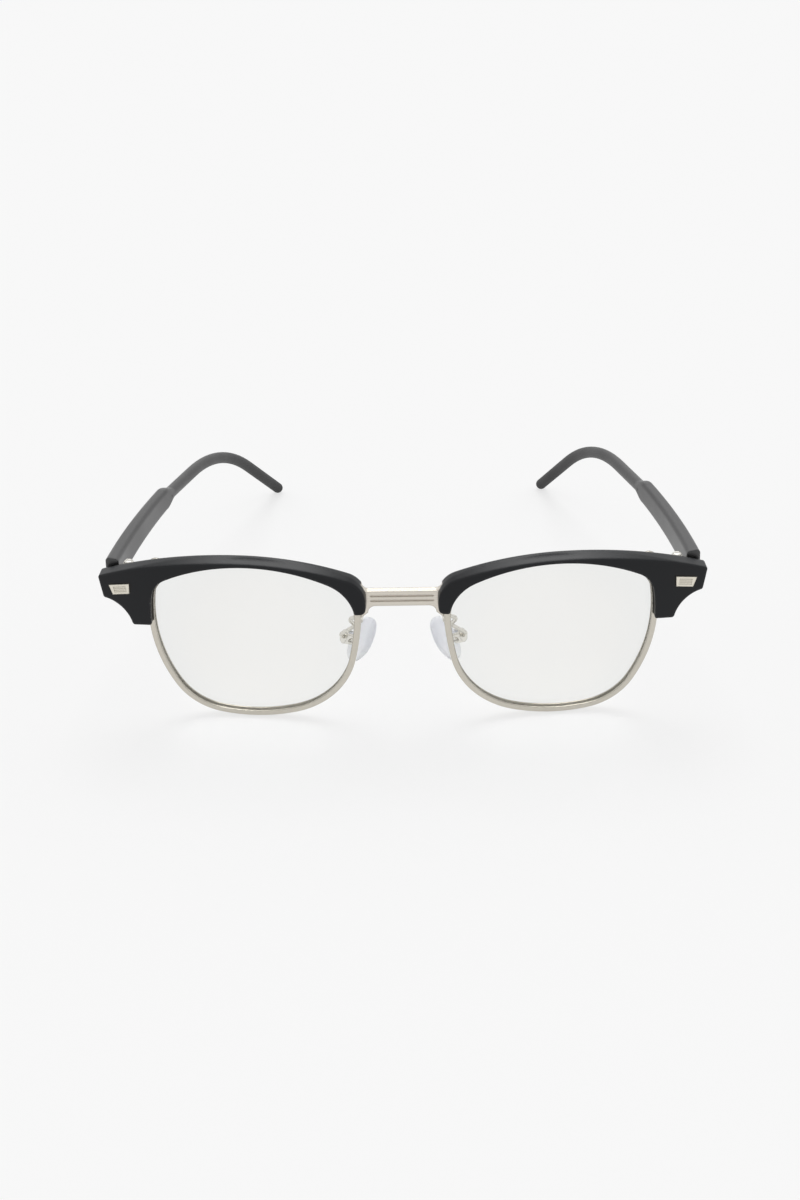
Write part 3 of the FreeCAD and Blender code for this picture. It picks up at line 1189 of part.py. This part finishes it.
soft = nose_pad_left.newObject("PartDesign::Fillet", "pad_soft")
soft_edges = edges_where(doc.pad_cushion.Shape, on_pad_rim)
soft.Base = (doc.pad_cushion, ["Edge%d" % i for i in soft_edges])
bind(soft, "Radius", "Sizes.pad_round")
slab(nose_pad_left, "pad_stem", "-Sizes.stem_width / 2", "Sizes.stem_width / 2",
     "-Sizes.stem_half", "Sizes.stem_half", "-Sizes.stem_reach", "Sizes.stem_reach + Sizes.pad_thickness / 2")
stem_bore = sketch_on(nose_pad_left, "YZ_Plane", "stem_bore_outline")
add_circle(stem_bore, "0", "-Sizes.rock_back", "Sizes.pad_screw + Sizes.pad_play")
pocket(nose_pad_left, stem_bore, "stem_bore", "Sizes.stem_width * 2", middle=True)

pad_box_left = body_at("pad_box_left", pad_frame)
channel = "Sizes.stem_width / 2 + Sizes.box_room"
cheek = channel + " + Sizes.box_wall"
slab(pad_box_left, "box_block", "-(" + cheek + ")", cheek, "-Sizes.box_half", "Sizes.box_half",
     "-Sizes.box_start - Sizes.box_depth", "Sizes.box_depth")
doc.recompute()


def along_depth(edge):
    # a corner edge of the box, which runs along the body's own Z
    return abs(edge.tangentAt(edge.FirstParameter).z) > 1 - close


cup = pad_box_left.newObject("PartDesign::Fillet", "box_cup")
cup_edges = edges_where(doc.box_block.Shape, along_depth)
cup.Base = (doc.box_block, ["Edge%d" % i for i in cup_edges])
bind(cup, "Radius", "Sizes.box_round")
slab_cut(pad_box_left, "box_channel", "-(" + channel + ")", channel,
         "-Sizes.box_half - Sizes.box_wall", "Sizes.box_half + Sizes.box_wall",
         "-Sizes.box_start", "Sizes.box_depth - Sizes.box_floor")
box_bore = sketch_on(pad_box_left, "YZ_Plane", "box_bore_outline")
add_circle(box_bore, "0", "-Sizes.rock_back", "Sizes.pad_screw + Sizes.pad_play")
pocket(pad_box_left, box_bore, "box_bore", "3 * (" + cheek + ")", middle=True)

screw_seat = size("stem_width") / 2 + size("box_room") + size("box_wall")
screw_place = Vector(screw_seat, 0, -size("rock_back"))
screw_turn = FreeCAD.Placement(screw_place, FreeCAD.Rotation(Vector(0, 1, 0), 90))
pad_screw_left = slotted_screw("pad_screw_left", pad_frame.multiply(screw_turn), "Sizes.pad_screw",
                               "2 * (" + cheek + ")", "Sizes.pad_head", "Sizes.pad_head_depth")

arm_root = on_shell(-half_width - size("rim_lip"), size("arm_up"), -size("rim_depth") / 2)
arm_rear = arm_root - lens_forward * size("arm_back")
arm_outside = arm_rear + Vector(size("arm_out"), size("arm_step"), -size("arm_fall_out"))
arm_inside = arm_outside + Vector(-size("arm_return"), size("arm_step"), -size("arm_fall_return"))
arm_end = pad_frame.multVec(Vector(0, 0, -size("box_start") - size("box_depth")))
arm_behind = arm_end - pad_in * size("arm_loop")
arm_points = [arm_root, arm_rear, arm_outside, arm_inside, arm_behind, arm_end]
arm_bends = [size("arm_bend")] * (len(arm_points) - 2)
pad_arm_left = wire_sweep("pad_arm_left", arm_points, arm_bends, "Sizes.arm_radius")

doc.recompute()
brow_left = carve("brow_left", brow_rounded, nose_bay, lock_bay, rim_bay, insert_left, brow_screw_left,
                  front_hinge_left)

# Both sides, checked and written
left_parts = {
    "lens": lens_left,
    "eyewire": eyewire_left,
    "rim_lock_upper": lock_upper_left,
    "rim_lock_lower": lock_lower_left,
    "rim_lock_screw": lock_screw_left,
    "brow": brow_left,
    "brow_insert": insert_left,
    "brow_tab": brow_tab_left,
    "brow_screw": brow_screw_left,
    "front_hinge": front_hinge_left,
    "temple_hinge": temple_hinge_left,
    "hinge_screw": hinge_screw_left,
    "temple": temple_left,
    "temple_core": temple_core_left,
    "pad_arm": pad_arm_left,
    "pad_box": pad_box_left,
    "pad_screw": pad_screw_left,
    "nose_pad": nose_pad_left,
}
finished = {"bridge": bridge}
for name, part in left_parts.items():
    part.Label = name + "_left"
    finished[name + "_left"] = part
    finished[name + "_right"] = mirror(part, name + "_right")
doc.recompute()

for feature in doc.Objects:
    if "Invalid" in feature.State or "Error" in feature.State:
        raise RuntimeError("not built: " + feature.Name)
os.makedirs("parts", exist_ok=True)
for name, part in finished.items():
    if part.Shape.isNull() or not part.Shape.isValid():
        raise RuntimeError("bad shape: " + name)
    part.Shape.exportStep("parts/" + name + ".step")
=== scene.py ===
# %% [markdown]
# Browline glasses on a pale studio table
#
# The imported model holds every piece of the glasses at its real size, in metres, with +Z up and the
# front facing -Y. This lesson leaves those shapes alone. It gives every piece its finish and sets up the
# table, the light and the camera of a catalogue picture.

# %% Load the frame
import math

import bpy
from mathutils import Matrix, Vector


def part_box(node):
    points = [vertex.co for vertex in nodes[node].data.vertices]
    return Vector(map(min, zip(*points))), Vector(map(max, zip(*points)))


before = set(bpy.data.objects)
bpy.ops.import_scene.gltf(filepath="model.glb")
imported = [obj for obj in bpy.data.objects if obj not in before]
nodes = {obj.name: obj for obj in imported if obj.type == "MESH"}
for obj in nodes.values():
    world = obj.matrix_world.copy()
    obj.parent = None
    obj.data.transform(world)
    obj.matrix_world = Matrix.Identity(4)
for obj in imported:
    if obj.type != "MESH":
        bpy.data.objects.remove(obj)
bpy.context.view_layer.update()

MM = 0.001

# %% [markdown]
# Smooth shading
#
# The frame arrives as flat triangles. On real acetate and polished wire the eye sees an unbroken
# highlight, so faces that meet at a small angle are shaded as one surface, while true creases, such as
# the bevel line of the brow, stay sharp. Marking sharp edges by angle does both without moving a point.

# %% Shade the pieces smoothly
CREASE_ANGLE = math.radians(28)

for node in nodes.values():
    node.data.shade_smooth()
    node.data.set_sharp_from_angle(angle=CREASE_ANGLE)
print("creases sharper than", round(math.degrees(CREASE_ANGLE)), "degrees are kept")

# %% [markdown]
# A short way to write shader nodes
#
# Every finish below is a chain of shader nodes. Written out in full, a node takes one line to make it and
# one more for each option, value and link. Two helpers take all of these at once, so that a finish reads
# like a recipe: which node, and what goes into it.


# %% Node helpers
def feed(tree, node, inputs):
    """Fills a node's inputs by name or number: a socket is linked, anything else is set as a value."""
    for name, value in inputs.items():
        if isinstance(value, bpy.types.NodeSocket):
            tree.links.new(value, node.inputs[name])
        else:
            node.inputs[name].default_value = value


def add(tree, kind, inputs=None, **options):
    """A new node of a tree, with its options set and its inputs filled."""
    node = tree.nodes.new("ShaderNode" + kind)
    for name, value in options.items():
        setattr(node, name, value)
    feed(tree, node, inputs or {})
    return node


print("helpers", feed.__name__, "and", add.__name__)

# %% [markdown]
# Effects as node groups
#
# Grain, rounded edges and the lines of drawn wire each turn up in more than one finish. Copying their
# nodes would work once and then drift apart, so each is a node group: built once, with named sockets, and
# placed in every material that needs it with values of its own.


# %% Group helper
def start_group(name, inputs, outputs):
    """An empty node group, with the sockets that feed it and the node that ends it.

    Inputs are given as (name, type, value), outputs as (name, type).
    """
    group = bpy.data.node_groups.new(name, "ShaderNodeTree")
    for label, kind, value in inputs:
        socket = group.interface.new_socket(label, in_out="INPUT", socket_type="NodeSocket" + kind)
        socket.default_value = value
    for label, kind in outputs:
        group.interface.new_socket(label, in_out="OUTPUT", socket_type="NodeSocket" + kind)
    entry = group.nodes.new("NodeGroupInput")
    leave = group.nodes.new("NodeGroupOutput")
    return group, entry.outputs, leave


print("helper", start_group.__name__)

# %% [markdown]
# Tumbled grain
#
# Matte acetate is tumbled with fine powder after milling. That leaves a tiny, even grain that breaks up
# reflections, and fingers later polish it a little in patches. Painting this by hand would need image
# textures. Two noises do it at any scale: a fine one for the grain and a broad one for the handling.
# Temples are handled near the hinge and stay dull towards their tips, so a ramp along Y adds that.
# Both acetate finishes and the soft pads use this group.

# %% Grain group
PATCH_STARTS = 0.35
PATCH_FULL = 0.7
HANDLED_TO = -20 * MM
TIP_AT = 75 * MM


def make_grain_group():
    group, given, leave = start_group(
        "tumbled_grain",
        [("Grain Scale", "Float", 2600.0), ("Patch Scale", "Float", 70.0),
         ("Dull", "Float", 0.5), ("Polished", "Float", 0.4), ("Duller Tips", "Float", 0.0)],
        [("Height", "Float"), ("Roughness", "Float"), ("Patches", "Float")])
    place = add(group, "TexCoord").outputs["Object"]
    fine = add(group, "TexNoise", {"Vector": place, "Scale": given["Grain Scale"], "Detail": 2.0})
    broad = add(group, "TexNoise", {"Vector": place, "Scale": given["Patch Scale"], "Detail": 3.0})
    patches = add(group, "MapRange", {"Value": broad.outputs["Fac"],
                                      "From Min": PATCH_STARTS, "From Max": PATCH_FULL})
    polish = add(group, "MapRange", {"Value": patches.outputs["Result"],
                                     "To Min": given["Dull"], "To Max": given["Polished"]})
    depth = add(group, "SeparateXYZ", {"Vector": place}).outputs["Y"]
    tips = add(group, "MapRange", {"Value": depth, "From Min": HANDLED_TO, "From Max": TIP_AT,
                                   "To Max": given["Duller Tips"]})
    rough = add(group, "Math", {0: polish.outputs["Result"], 1: tips.outputs["Result"]},
                operation="ADD", use_clamp=True)
    feed(group, leave, {"Height": fine.outputs["Fac"], "Roughness": rough.outputs[0],
                        "Patches": patches.outputs["Result"]})
    return group


tumbled_grain = make_grain_group()
print("group", tumbled_grain.name)

# %% [markdown]
# Soft edges
#
# No edge of a finished frame is sharp: tumbling and plating leave a tiny round on it, and that round
# catches the light. It is too small for the model, so the shading bends the normals near each edge
# instead. Comparing the plain normal with the bent one also finds the edges, so no mask has to be painted.
# Acetate uses the mask to paint a pale highlight along its edges, and metal to paint shade along them.


# %% Edge group
def make_edge_group():
    group, given, leave = start_group(
        "edge_round_and_mask", [("Reach", "Float", 0.25 * MM), ("Contrast", "Float", 4.0)],
        [("Mask", "Float"), ("Normal", "Vector")])
    bent = add(group, "Bevel", {"Radius": given["Reach"]}, samples=4).outputs["Normal"]
    plain = add(group, "NewGeometry").outputs["Normal"]
    agree = add(group, "VectorMath", {0: bent, 1: plain}, operation="DOT_PRODUCT").outputs["Value"]
    turned = add(group, "Math", {0: 1.0, 1: agree}, operation="SUBTRACT", use_clamp=True)
    mask = add(group, "Math", {0: turned.outputs[0], 1: given["Contrast"]},
               operation="MULTIPLY", use_clamp=True)
    feed(group, leave, {"Mask": mask.outputs[0], "Normal": bent})
    return group


edge_round_and_mask = make_edge_group()
print("group", edge_round_and_mask.name)

# %% [markdown]
# Black acetate
#
# The brow pieces and the temples are cut from black acetate and left matte. Black plastic is never pure
# black in a picture: a thin skin of reflected light lies over it. So the colour is very dark, the
# roughness is middling, and the grain and the edges shift both a little; the edges get a painted pale
# highlight. The temples are the paler of the two, and they shine more near the hinges.

# %% Material helpers
SIDES = ("left", "right")


def start_material(name):
    """A new material, its node tree and its Principled shader, already joined to the output."""
    material = bpy.data.materials.new(name)
    material.use_nodes = True
    return material, material.node_tree, material.node_tree.nodes["Principled BSDF"]


def mix_colours(tree, factor, first, second):
    """A colour from the first to the second as the factor goes from 0 to 1."""
    node = add(tree, "Mix", {"Factor": factor}, data_type="RGBA")
    for socket, colour in zip([s for s in node.inputs if s.type == "RGBA"], (first, second)):
        if isinstance(colour, bpy.types.NodeSocket):
            tree.links.new(colour, socket)
        else:
            socket.default_value = (*colour, 1)
    return [socket for socket in node.outputs if socket.type == "RGBA"][0]


def finish_nodes(material, *names):
    """Gives the material to CAD nodes; a name without a side means both sides."""
    for name in names:
        for node_name in [name] if name in nodes else [name + "_" + side for side in SIDES]:
            slots = nodes[node_name].data.materials
            slots.clear()
            slots.append(material)
    print(material.name, "on", ", ".join(names))


print("helpers", start_material.__name__, mix_colours.__name__, finish_nodes.__name__)

# %% Brow and temple finishes
ACETATE_ROUND = 0.9 * MM
ACETATE_GRAIN = {"Strength": 0.12, "Distance": 0.05 * MM}


def make_acetate(name, colour, edge_highlight, dull, polished, duller_tips, shine):
    material, tree, shader = start_material(name)
    grain = add(tree, "Group", {"Dull": dull, "Polished": polished, "Duller Tips": duller_tips},
                node_tree=tumbled_grain)
    edges = add(tree, "Group", {"Reach": ACETATE_ROUND}, node_tree=edge_round_and_mask)
    bump = add(tree, "Bump", {"Height": grain.outputs["Height"], "Normal": edges.outputs["Normal"],
                              **ACETATE_GRAIN})
    # Painted highlight: the edge mask turns the colour paler along every acetate edge.
    feed(tree, shader, {"Base Color": mix_colours(tree, edges.outputs["Mask"], colour, edge_highlight),
                        "Roughness": grain.outputs["Roughness"], "Normal": bump.outputs["Normal"],
                        "Specular IOR Level": shine})
    return material


brow_black = make_acetate(
    "brow_black", colour=(0.002, 0.003, 0.0052), edge_highlight=(0.03, 0.031, 0.035),
    dull=0.36, polished=0.31, duller_tips=0.0, shine=0.31)
temple_black = make_acetate(
    "temple_black", colour=(0.012, 0.0116, 0.0125), edge_highlight=(0.03, 0.0295, 0.032),
    dull=0.36, polished=0.28, duller_tips=0.45, shine=0.78)
finish_nodes(brow_black, "brow")
finish_nodes(temple_black, "temple")

# %% [markdown]
# Painted shade in grooves
#
# Light hardly reaches the bottom of a narrow groove, so the flutes of the bridge and the fine lines of the
# inserts look darker than the faces beside them, and that shade is painted into their colour. The share of
# the sky that a point can see, within a fraction of a millimetre, finds every groove by itself.


# %% Groove group
def make_groove_group():
    group, given, leave = start_group(
        "painted_groove_shade", [("Reach", "Float", 0.5 * MM), ("Open", "Float", 0.8), ("Closed", "Float", 0.4)],
        [("Mask", "Float")])
    sky = add(group, "AmbientOcclusion", {"Distance": given["Reach"]}, samples=8)
    # A point that sees little sky gets the most painted shade.
    depth = add(group, "MapRange", {"Value": sky.outputs["AO"],
                                    "From Min": given["Open"], "From Max": given["Closed"]})
    feed(group, leave, {"Mask": depth.outputs["Result"]})
    return group


painted_groove_shade = make_groove_group()
print("group", painted_groove_shade.name)

# %% [markdown]
# Drawn wire
#
# The eyewires are rolled from wire, so fine lines run along them. Around each lens those lines follow
# the rim, which means that they need polar coordinates about the lens: noise that changes fast across
# the wire and slowly along it. The straight pieces use the same group with a far-off centre.

# %% Drawn lines group
LINE_STARTS = 0.3
LINE_FULL = 0.7


def make_drawn_group():
    group, given, leave = start_group(
        "drawn_lines",
        [("Centre", "Vector", (0, 0, 0)), ("Across", "Float", 9000.0), ("Along", "Float", 12.0),
         ("Roughest", "Float", 0.36), ("Smoothest", "Float", 0.24)],
        [("Lines", "Float"), ("Roughness", "Float")])
    place = add(group, "TexCoord").outputs["Object"]
    offset = add(group, "VectorMath", {0: place, 1: given["Centre"]}, operation="SUBTRACT")
    split = add(group, "SeparateXYZ", {"Vector": offset.outputs["Vector"]}).outputs
    angle = add(group, "Math", {0: split["Z"], 1: split["X"]}, operation="ARCTAN2").outputs[0]
    flat = add(group, "CombineXYZ", {"X": split["X"], "Z": split["Z"]})
    radius = add(group, "VectorMath", {0: flat.outputs["Vector"]}, operation="LENGTH").outputs["Value"]
    stretched = add(group, "CombineXYZ")
    for axis, source, scale in (("X", radius, "Across"), ("Y", split["Y"], "Across"), ("Z", angle, "Along")):
        times = add(group, "Math", {0: source, 1: given[scale]}, operation="MULTIPLY")
        feed(group, stretched, {axis: times.outputs[0]})
    lines = add(group, "TexNoise", {"Vector": stretched.outputs["Vector"], "Scale": 1.0, "Detail": 2.0})
    polish = add(group, "MapRange", {"Value": lines.outputs["Fac"],
                                     "From Min": LINE_STARTS, "From Max": LINE_FULL,
                                     "To Min": given["Smoothest"], "To Max": given["Roughest"]})
    feed(group, leave, {"Lines": lines.outputs["Fac"], "Roughness": polish.outputs["Result"]})
    return group


drawn_lines = make_drawn_group()
print("group", drawn_lines.name)

# %% [markdown]
# Plated metal
#
# Rims, bridge, inserts, hinges and pad arms are plated in warm silver. A metal shader with a single colour
# looks like foil, so the drawn lines shift its colour and roughness, and shade is painted into grooves and
# along edges. The painted edge shade also makes the flat face of a rim look as round as rolled wire does.
# One function makes every metal, because the pieces differ only in tone, in polish, in the centre of their
# lines and in how strongly their painted edge and groove shade darkens them.

# %% Metal finish
METAL_ROUND = 0.4 * MM
GROOVE_SHADE = 0.75
METAL_GRAIN = {"Strength": 0.05, "Distance": 0.02 * MM}


def make_metal(name, centre, colour, dark_colour, roughest, smoothest, groove_reach, edge_shade):
    material, tree, shader = start_material(name)
    lines = add(tree, "Group", {"Centre": centre, "Roughest": roughest, "Smoothest": smoothest},
                node_tree=drawn_lines)
    grooves = add(tree, "Group", {"Reach": groove_reach}, node_tree=painted_groove_shade)
    edges = add(tree, "Group", {"Reach": METAL_ROUND}, node_tree=edge_round_and_mask)
    tone = mix_colours(tree, lines.outputs["Lines"], dark_colour, colour)
    # Painted shade: the edge and groove masks darken the colour.
    for mask, shade in ((edges.outputs["Mask"], edge_shade), (grooves.outputs["Mask"], GROOVE_SHADE)):
        tone = mix_colours(tree, mask, tone, [shade * value for value in dark_colour])
    bump = add(tree, "Bump", {"Height": lines.outputs["Lines"], "Normal": edges.outputs["Normal"],
                              **METAL_GRAIN})
    feed(tree, shader, {"Base Color": tone, "Roughness": lines.outputs["Roughness"],
                        "Normal": bump.outputs["Normal"], "Metallic": 1.0})
    return material


print("helper", make_metal.__name__)


# %% Rims
def middle_of(node_name):
    low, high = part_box(node_name)
    return (low + high) / 2


for side in SIDES:
    rim_metal = make_metal(
        "rim_metal_" + side, middle_of("lens_" + side),
        colour=(0.69, 0.65, 0.575), dark_colour=(0.54, 0.51, 0.445),
        roughest=0.26, smoothest=0.16, groove_reach=0.15 * MM, edge_shade=0.6)
    finish_nodes(rim_metal, "eyewire_" + side, "rim_lock_upper_" + side, "rim_lock_lower_" + side,
                 "brow_tab_" + side)

# %% Bridge, inserts and hinges
FAR_OFF = 1.0

far_below = middle_of("bridge") - Vector((0, 0, FAR_OFF))
bridge_metal = make_metal(
    "bridge_metal", far_below, colour=(0.75, 0.7, 0.625), dark_colour=(0.6, 0.56, 0.495),
    roughest=0.3, smoothest=0.2, groove_reach=0.08 * MM, edge_shade=0.9)
insert_silver = make_metal(
    "insert_silver", far_below, colour=(0.84, 0.795, 0.69), dark_colour=(0.7, 0.66, 0.57),
    roughest=0.3, smoothest=0.2, groove_reach=0.15 * MM, edge_shade=0.9)
hinge_silver = make_metal(
    "hinge_silver", far_below, colour=(0.86, 0.84, 0.79), dark_colour=(0.76, 0.74, 0.69),
    roughest=0.22, smoothest=0.12, groove_reach=0.5 * MM, edge_shade=0.9)
finish_nodes(bridge_metal, "bridge")
finish_nodes(insert_silver, "brow_insert")
finish_nodes(hinge_silver, "front_hinge", "temple_hinge", "hinge_screw", "brow_screw", "rim_lock_screw",
             "pad_arm", "pad_box", "pad_screw", "temple_core")

# %% [markdown]
# Clear lenses
#
# A plain lens is seen by what it does to the table behind it: it takes a few percent of the light, and a
# little more towards its rim. Glass shading with real thickness gives that and the faint reflection. With
# the full index of lens plastic, about 1.5, the lens edge traps light and draws a dark line inside the
# rim, so the index is lower here. Lamp light is let straight through, because traced caustics of a
# thin lens would only add noise.

# %% Lenses
LENS_TINT = (0.926, 0.923, 0.905)
LENS_RIM_TINT = (0.905, 0.91, 0.9)
LENS_SHADOW = (0.9, 0.91, 0.91)
LENS_INDEX = 1.3
CLEAR_SHARE = 0.6


def let_lamps_through(tree, shader, tint):
    """Shadow rays pass a clear piece, dimmed by its tint."""
    path = add(tree, "LightPath")
    clear = add(tree, "BsdfTransparent", {"Color": (*tint, 1)})
    choose = add(tree, "MixShader", {0: path.outputs["Is Shadow Ray"], 1: shader.outputs[0],
                                     2: clear.outputs[0]})
    feed(tree, tree.nodes["Material Output"], {"Surface": choose.outputs[0]})


def make_lens(name, centre, reach):
    material, tree, shader = start_material(name)
    place = add(tree, "TexCoord").outputs["Object"]
    away = add(tree, "VectorMath", {0: place, 1: centre}, operation="DISTANCE").outputs["Value"]
    near_rim = add(tree, "MapRange", {"Value": away, "From Min": CLEAR_SHARE * reach, "From Max": reach})
    tint = mix_colours(tree, near_rim.outputs["Result"], LENS_TINT, LENS_RIM_TINT)
    feed(tree, shader, {"Base Color": tint, "Roughness": 0.0, "IOR": LENS_INDEX,
                        "Transmission Weight": 1.0})
    let_lamps_through(tree, shader, LENS_SHADOW)
    return material


for side in SIDES:
    lens_low, lens_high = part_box("lens_" + side)
    half_width = (lens_high.x - lens_low.x) / 2
    finish_nodes(make_lens("lens_clear_" + side, middle_of("lens_" + side), half_width), "lens_" + side)

# %% [markdown]
# Soft nose pads
#
# The pads are clear silicone with a fine grain, and they look milky rather than like glass. So only part of
# the light passes, the surface is rough, and a low index keeps dark edges away. Their lower ends nearly
# vanish against the table, so the tint turns paler towards the bottom, painted light for the table shining
# through.

# %% Pads
PAD_TINT = (0.88, 0.895, 0.935)
PAD_PALE_TINT = (0.93, 0.94, 0.965)
PAD_PAINTED_END_LIGHT = (0.98, 0.985, 0.99)
PAD_SHADOW = (0.85, 0.87, 0.9)
PAD_INDEX = 1.15
PAD_CLEARNESS = 0.75
PAD_GRAIN = {"Strength": 0.08, "Distance": 0.05 * MM}


def make_pad_clear():
    material, tree, shader = start_material("pad_clear")
    grain = add(tree, "Group", {"Grain Scale": 900.0, "Patch Scale": 300.0, "Dull": 0.5, "Polished": 0.35},
                node_tree=tumbled_grain)
    milky = mix_colours(tree, grain.outputs["Patches"], PAD_TINT, PAD_PALE_TINT)
    height = add(tree, "SeparateXYZ", {"Vector": add(tree, "TexCoord").outputs["Object"]})
    above_end = add(tree, "MapRange", {"Value": height.outputs["Z"],
                                       "From Min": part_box("nose_pad_left")[0].z,
                                       "From Max": middle_of("nose_pad_left").z})
    # Painted light: the tint turns paler towards the lower end of the pad.
    tint = mix_colours(tree, above_end.outputs["Result"], PAD_PAINTED_END_LIGHT, milky)
    bump = add(tree, "Bump", {"Height": grain.outputs["Height"], **PAD_GRAIN})
    feed(tree, shader, {"Base Color": tint, "Roughness": grain.outputs["Roughness"],
                        "Normal": bump.outputs["Normal"], "IOR": PAD_INDEX,
                        "Transmission Weight": PAD_CLEARNESS})
    let_lamps_through(tree, shader, PAD_SHADOW)
    return material


finish_nodes(make_pad_clear(), "nose_pad")

# %% [markdown]
# Table and backdrop
#
# The glasses lie on a white sweep, a sheet that is table and backdrop in one. Lamps strong enough to make
# it that pale would wash out the glasses. So the table is part paint and part glow: the paint takes the
# shadow, and the glow, which only the camera, mirrors and glass can see, lifts it to nearly white.

# %% Table
TABLE_SIZE = 8.0
TABLE_PAINT = 0.26
TABLE_GLOW = 0.69
TABLE_ROUGHNESS = 0.9


def seen_rays(tree):
    """1 for what the camera, mirrors and glass see, 0 for the light that falls on pieces."""
    path = add(tree, "LightPath").outputs
    total = path["Is Camera Ray"]
    for ray in ("Is Glossy Ray", "Is Transmission Ray"):
        total = add(tree, "Math", {0: total, 1: path[ray]}, operation="MAXIMUM").outputs[0]
    return total


bpy.ops.mesh.primitive_plane_add(size=TABLE_SIZE)
table = bpy.context.object
table.name = "table_top"
table_pale, table_tree, table_shader = start_material("table_pale")
glow = add(table_tree, "Math", {0: seen_rays(table_tree), 1: TABLE_GLOW}, operation="MULTIPLY")
feed(table_tree, table_shader, {
    "Base Color": (TABLE_PAINT, TABLE_PAINT, TABLE_PAINT, 1), "Roughness": TABLE_ROUGHNESS,
    "Specular IOR Level": 0.0, "Emission Color": (1, 1, 1, 1), "Emission Strength": glow.outputs[0]})
table.data.materials.append(table_pale)
print("table paint", TABLE_PAINT, "glow", TABLE_GLOW)

# %% [markdown]
# Room light
#
# Behind the sweep stands a broad light wall, and the rest of the studio is dim. So the light that falls on
# the pieces comes mostly from the back, as in the picture. A world that is brighter towards the back and
# low down gives this without a lamp that would light one part of the table more than another. The camera,
# mirrors and glass see an even, pale backdrop in its place, so metal and black acetate mirror the white
# surroundings and not the dim room.

# %% Room
ROOM_LEVEL = 0.4
WALL_LEVEL = 1.3
BACKDROP_LEVEL = 0.93
WALL_STARTS_Y = -0.4
WALL_FULL_Y = 0.4
WALL_TOP_Z = 0.97
WALL_FULL_Z = 0.6

world = bpy.data.worlds.new("studio")
bpy.context.scene.world = world
world.use_nodes = True
room = world.node_tree
direction = add(room, "SeparateXYZ", {"Vector": add(room, "TexCoord").outputs["Generated"]}).outputs
behind = add(room, "MapRange", {"Value": direction["Y"], "From Min": WALL_STARTS_Y, "From Max": WALL_FULL_Y},
             interpolation_type="SMOOTHSTEP")
low_down = add(room, "MapRange", {"Value": direction["Z"], "From Min": WALL_TOP_Z, "From Max": WALL_FULL_Z},
               interpolation_type="SMOOTHSTEP")
wall = add(room, "Math", {0: behind.outputs["Result"], 1: low_down.outputs["Result"]}, operation="MULTIPLY")
light = add(room, "MapRange", {"Value": wall.outputs[0], "To Min": ROOM_LEVEL, "To Max": WALL_LEVEL})
level = add(room, "MapRange", {"Value": seen_rays(room), "To Min": light.outputs["Result"],
                               "To Max": BACKDROP_LEVEL})
feed(room, room.nodes["Background"], {"Color": (1, 1, 1, 1), "Strength": level.outputs["Result"]})
print("room", ROOM_LEVEL, "light wall", WALL_LEVEL, "backdrop", BACKDROP_LEVEL)

# %% [markdown]
# Overhead softbox
#
# One wide softbox, high above the table and a little behind it, gives the pieces their soft shadow. It is
# a sun lamp with a large disc, because its light is equally strong all over the table.

# %% Softbox
SOFTBOX_LEVEL = 1.0
SOFTBOX_WIDTH = math.radians(36)
SOFTBOX_LEAN = math.radians(32)

softbox = bpy.data.lights.new("overhead_softbox", "SUN")
softbox.energy = SOFTBOX_LEVEL
softbox.angle = SOFTBOX_WIDTH
lamp = bpy.data.objects.new("overhead_softbox", softbox)
bpy.context.collection.objects.link(lamp)
lamp.rotation_euler = (-SOFTBOX_LEAN, 0, 0)
print("softbox", SOFTBOX_LEVEL, "W per square metre")

# %% [markdown]
# Camera
#
# The picture looks down on the front from about 26 degrees, nearly square on, with a slight roll. A
# camera is easiest to place by what it looks at: a point by the bridge, a distance, and two angles.

# %% Camera
FOCAL_LENGTH = 58.35
SENSOR_WIDTH = 36.0
NEAREST_SEEN = 10 * MM
DISTANCE = 450 * MM
ELEVATION = math.radians(25.82)
PAN = math.radians(-1.26)
ROLL = math.radians(-1.318)
AIM = Vector((-0.46 * MM, -70.98 * MM, 32.26 * MM))

forward = Vector((math.sin(PAN) * math.cos(ELEVATION),
                  math.cos(PAN) * math.cos(ELEVATION),
                  -math.sin(ELEVATION)))
level_right = Vector((math.cos(PAN), -math.sin(PAN), 0))
level_up = level_right.cross(forward)
right = level_right * math.cos(ROLL) + level_up * math.sin(ROLL)
up = level_up * math.cos(ROLL) - level_right * math.sin(ROLL)
turn = Matrix((right, up, -forward)).transposed().to_4x4()
camera_data = bpy.data.cameras.new("camera")
camera_data.lens = FOCAL_LENGTH
camera_data.sensor_width = SENSOR_WIDTH
camera_data.clip_start = NEAREST_SEEN
camera = bpy.data.objects.new("camera", camera_data)
bpy.context.collection.objects.link(camera)
camera.matrix_world = Matrix.Translation(AIM - forward * DISTANCE) @ turn
bpy.context.scene.camera = camera
bpy.context.scene.view_settings.view_transform = "Standard"
print("camera at", [round(v, 3) for v in camera.location])
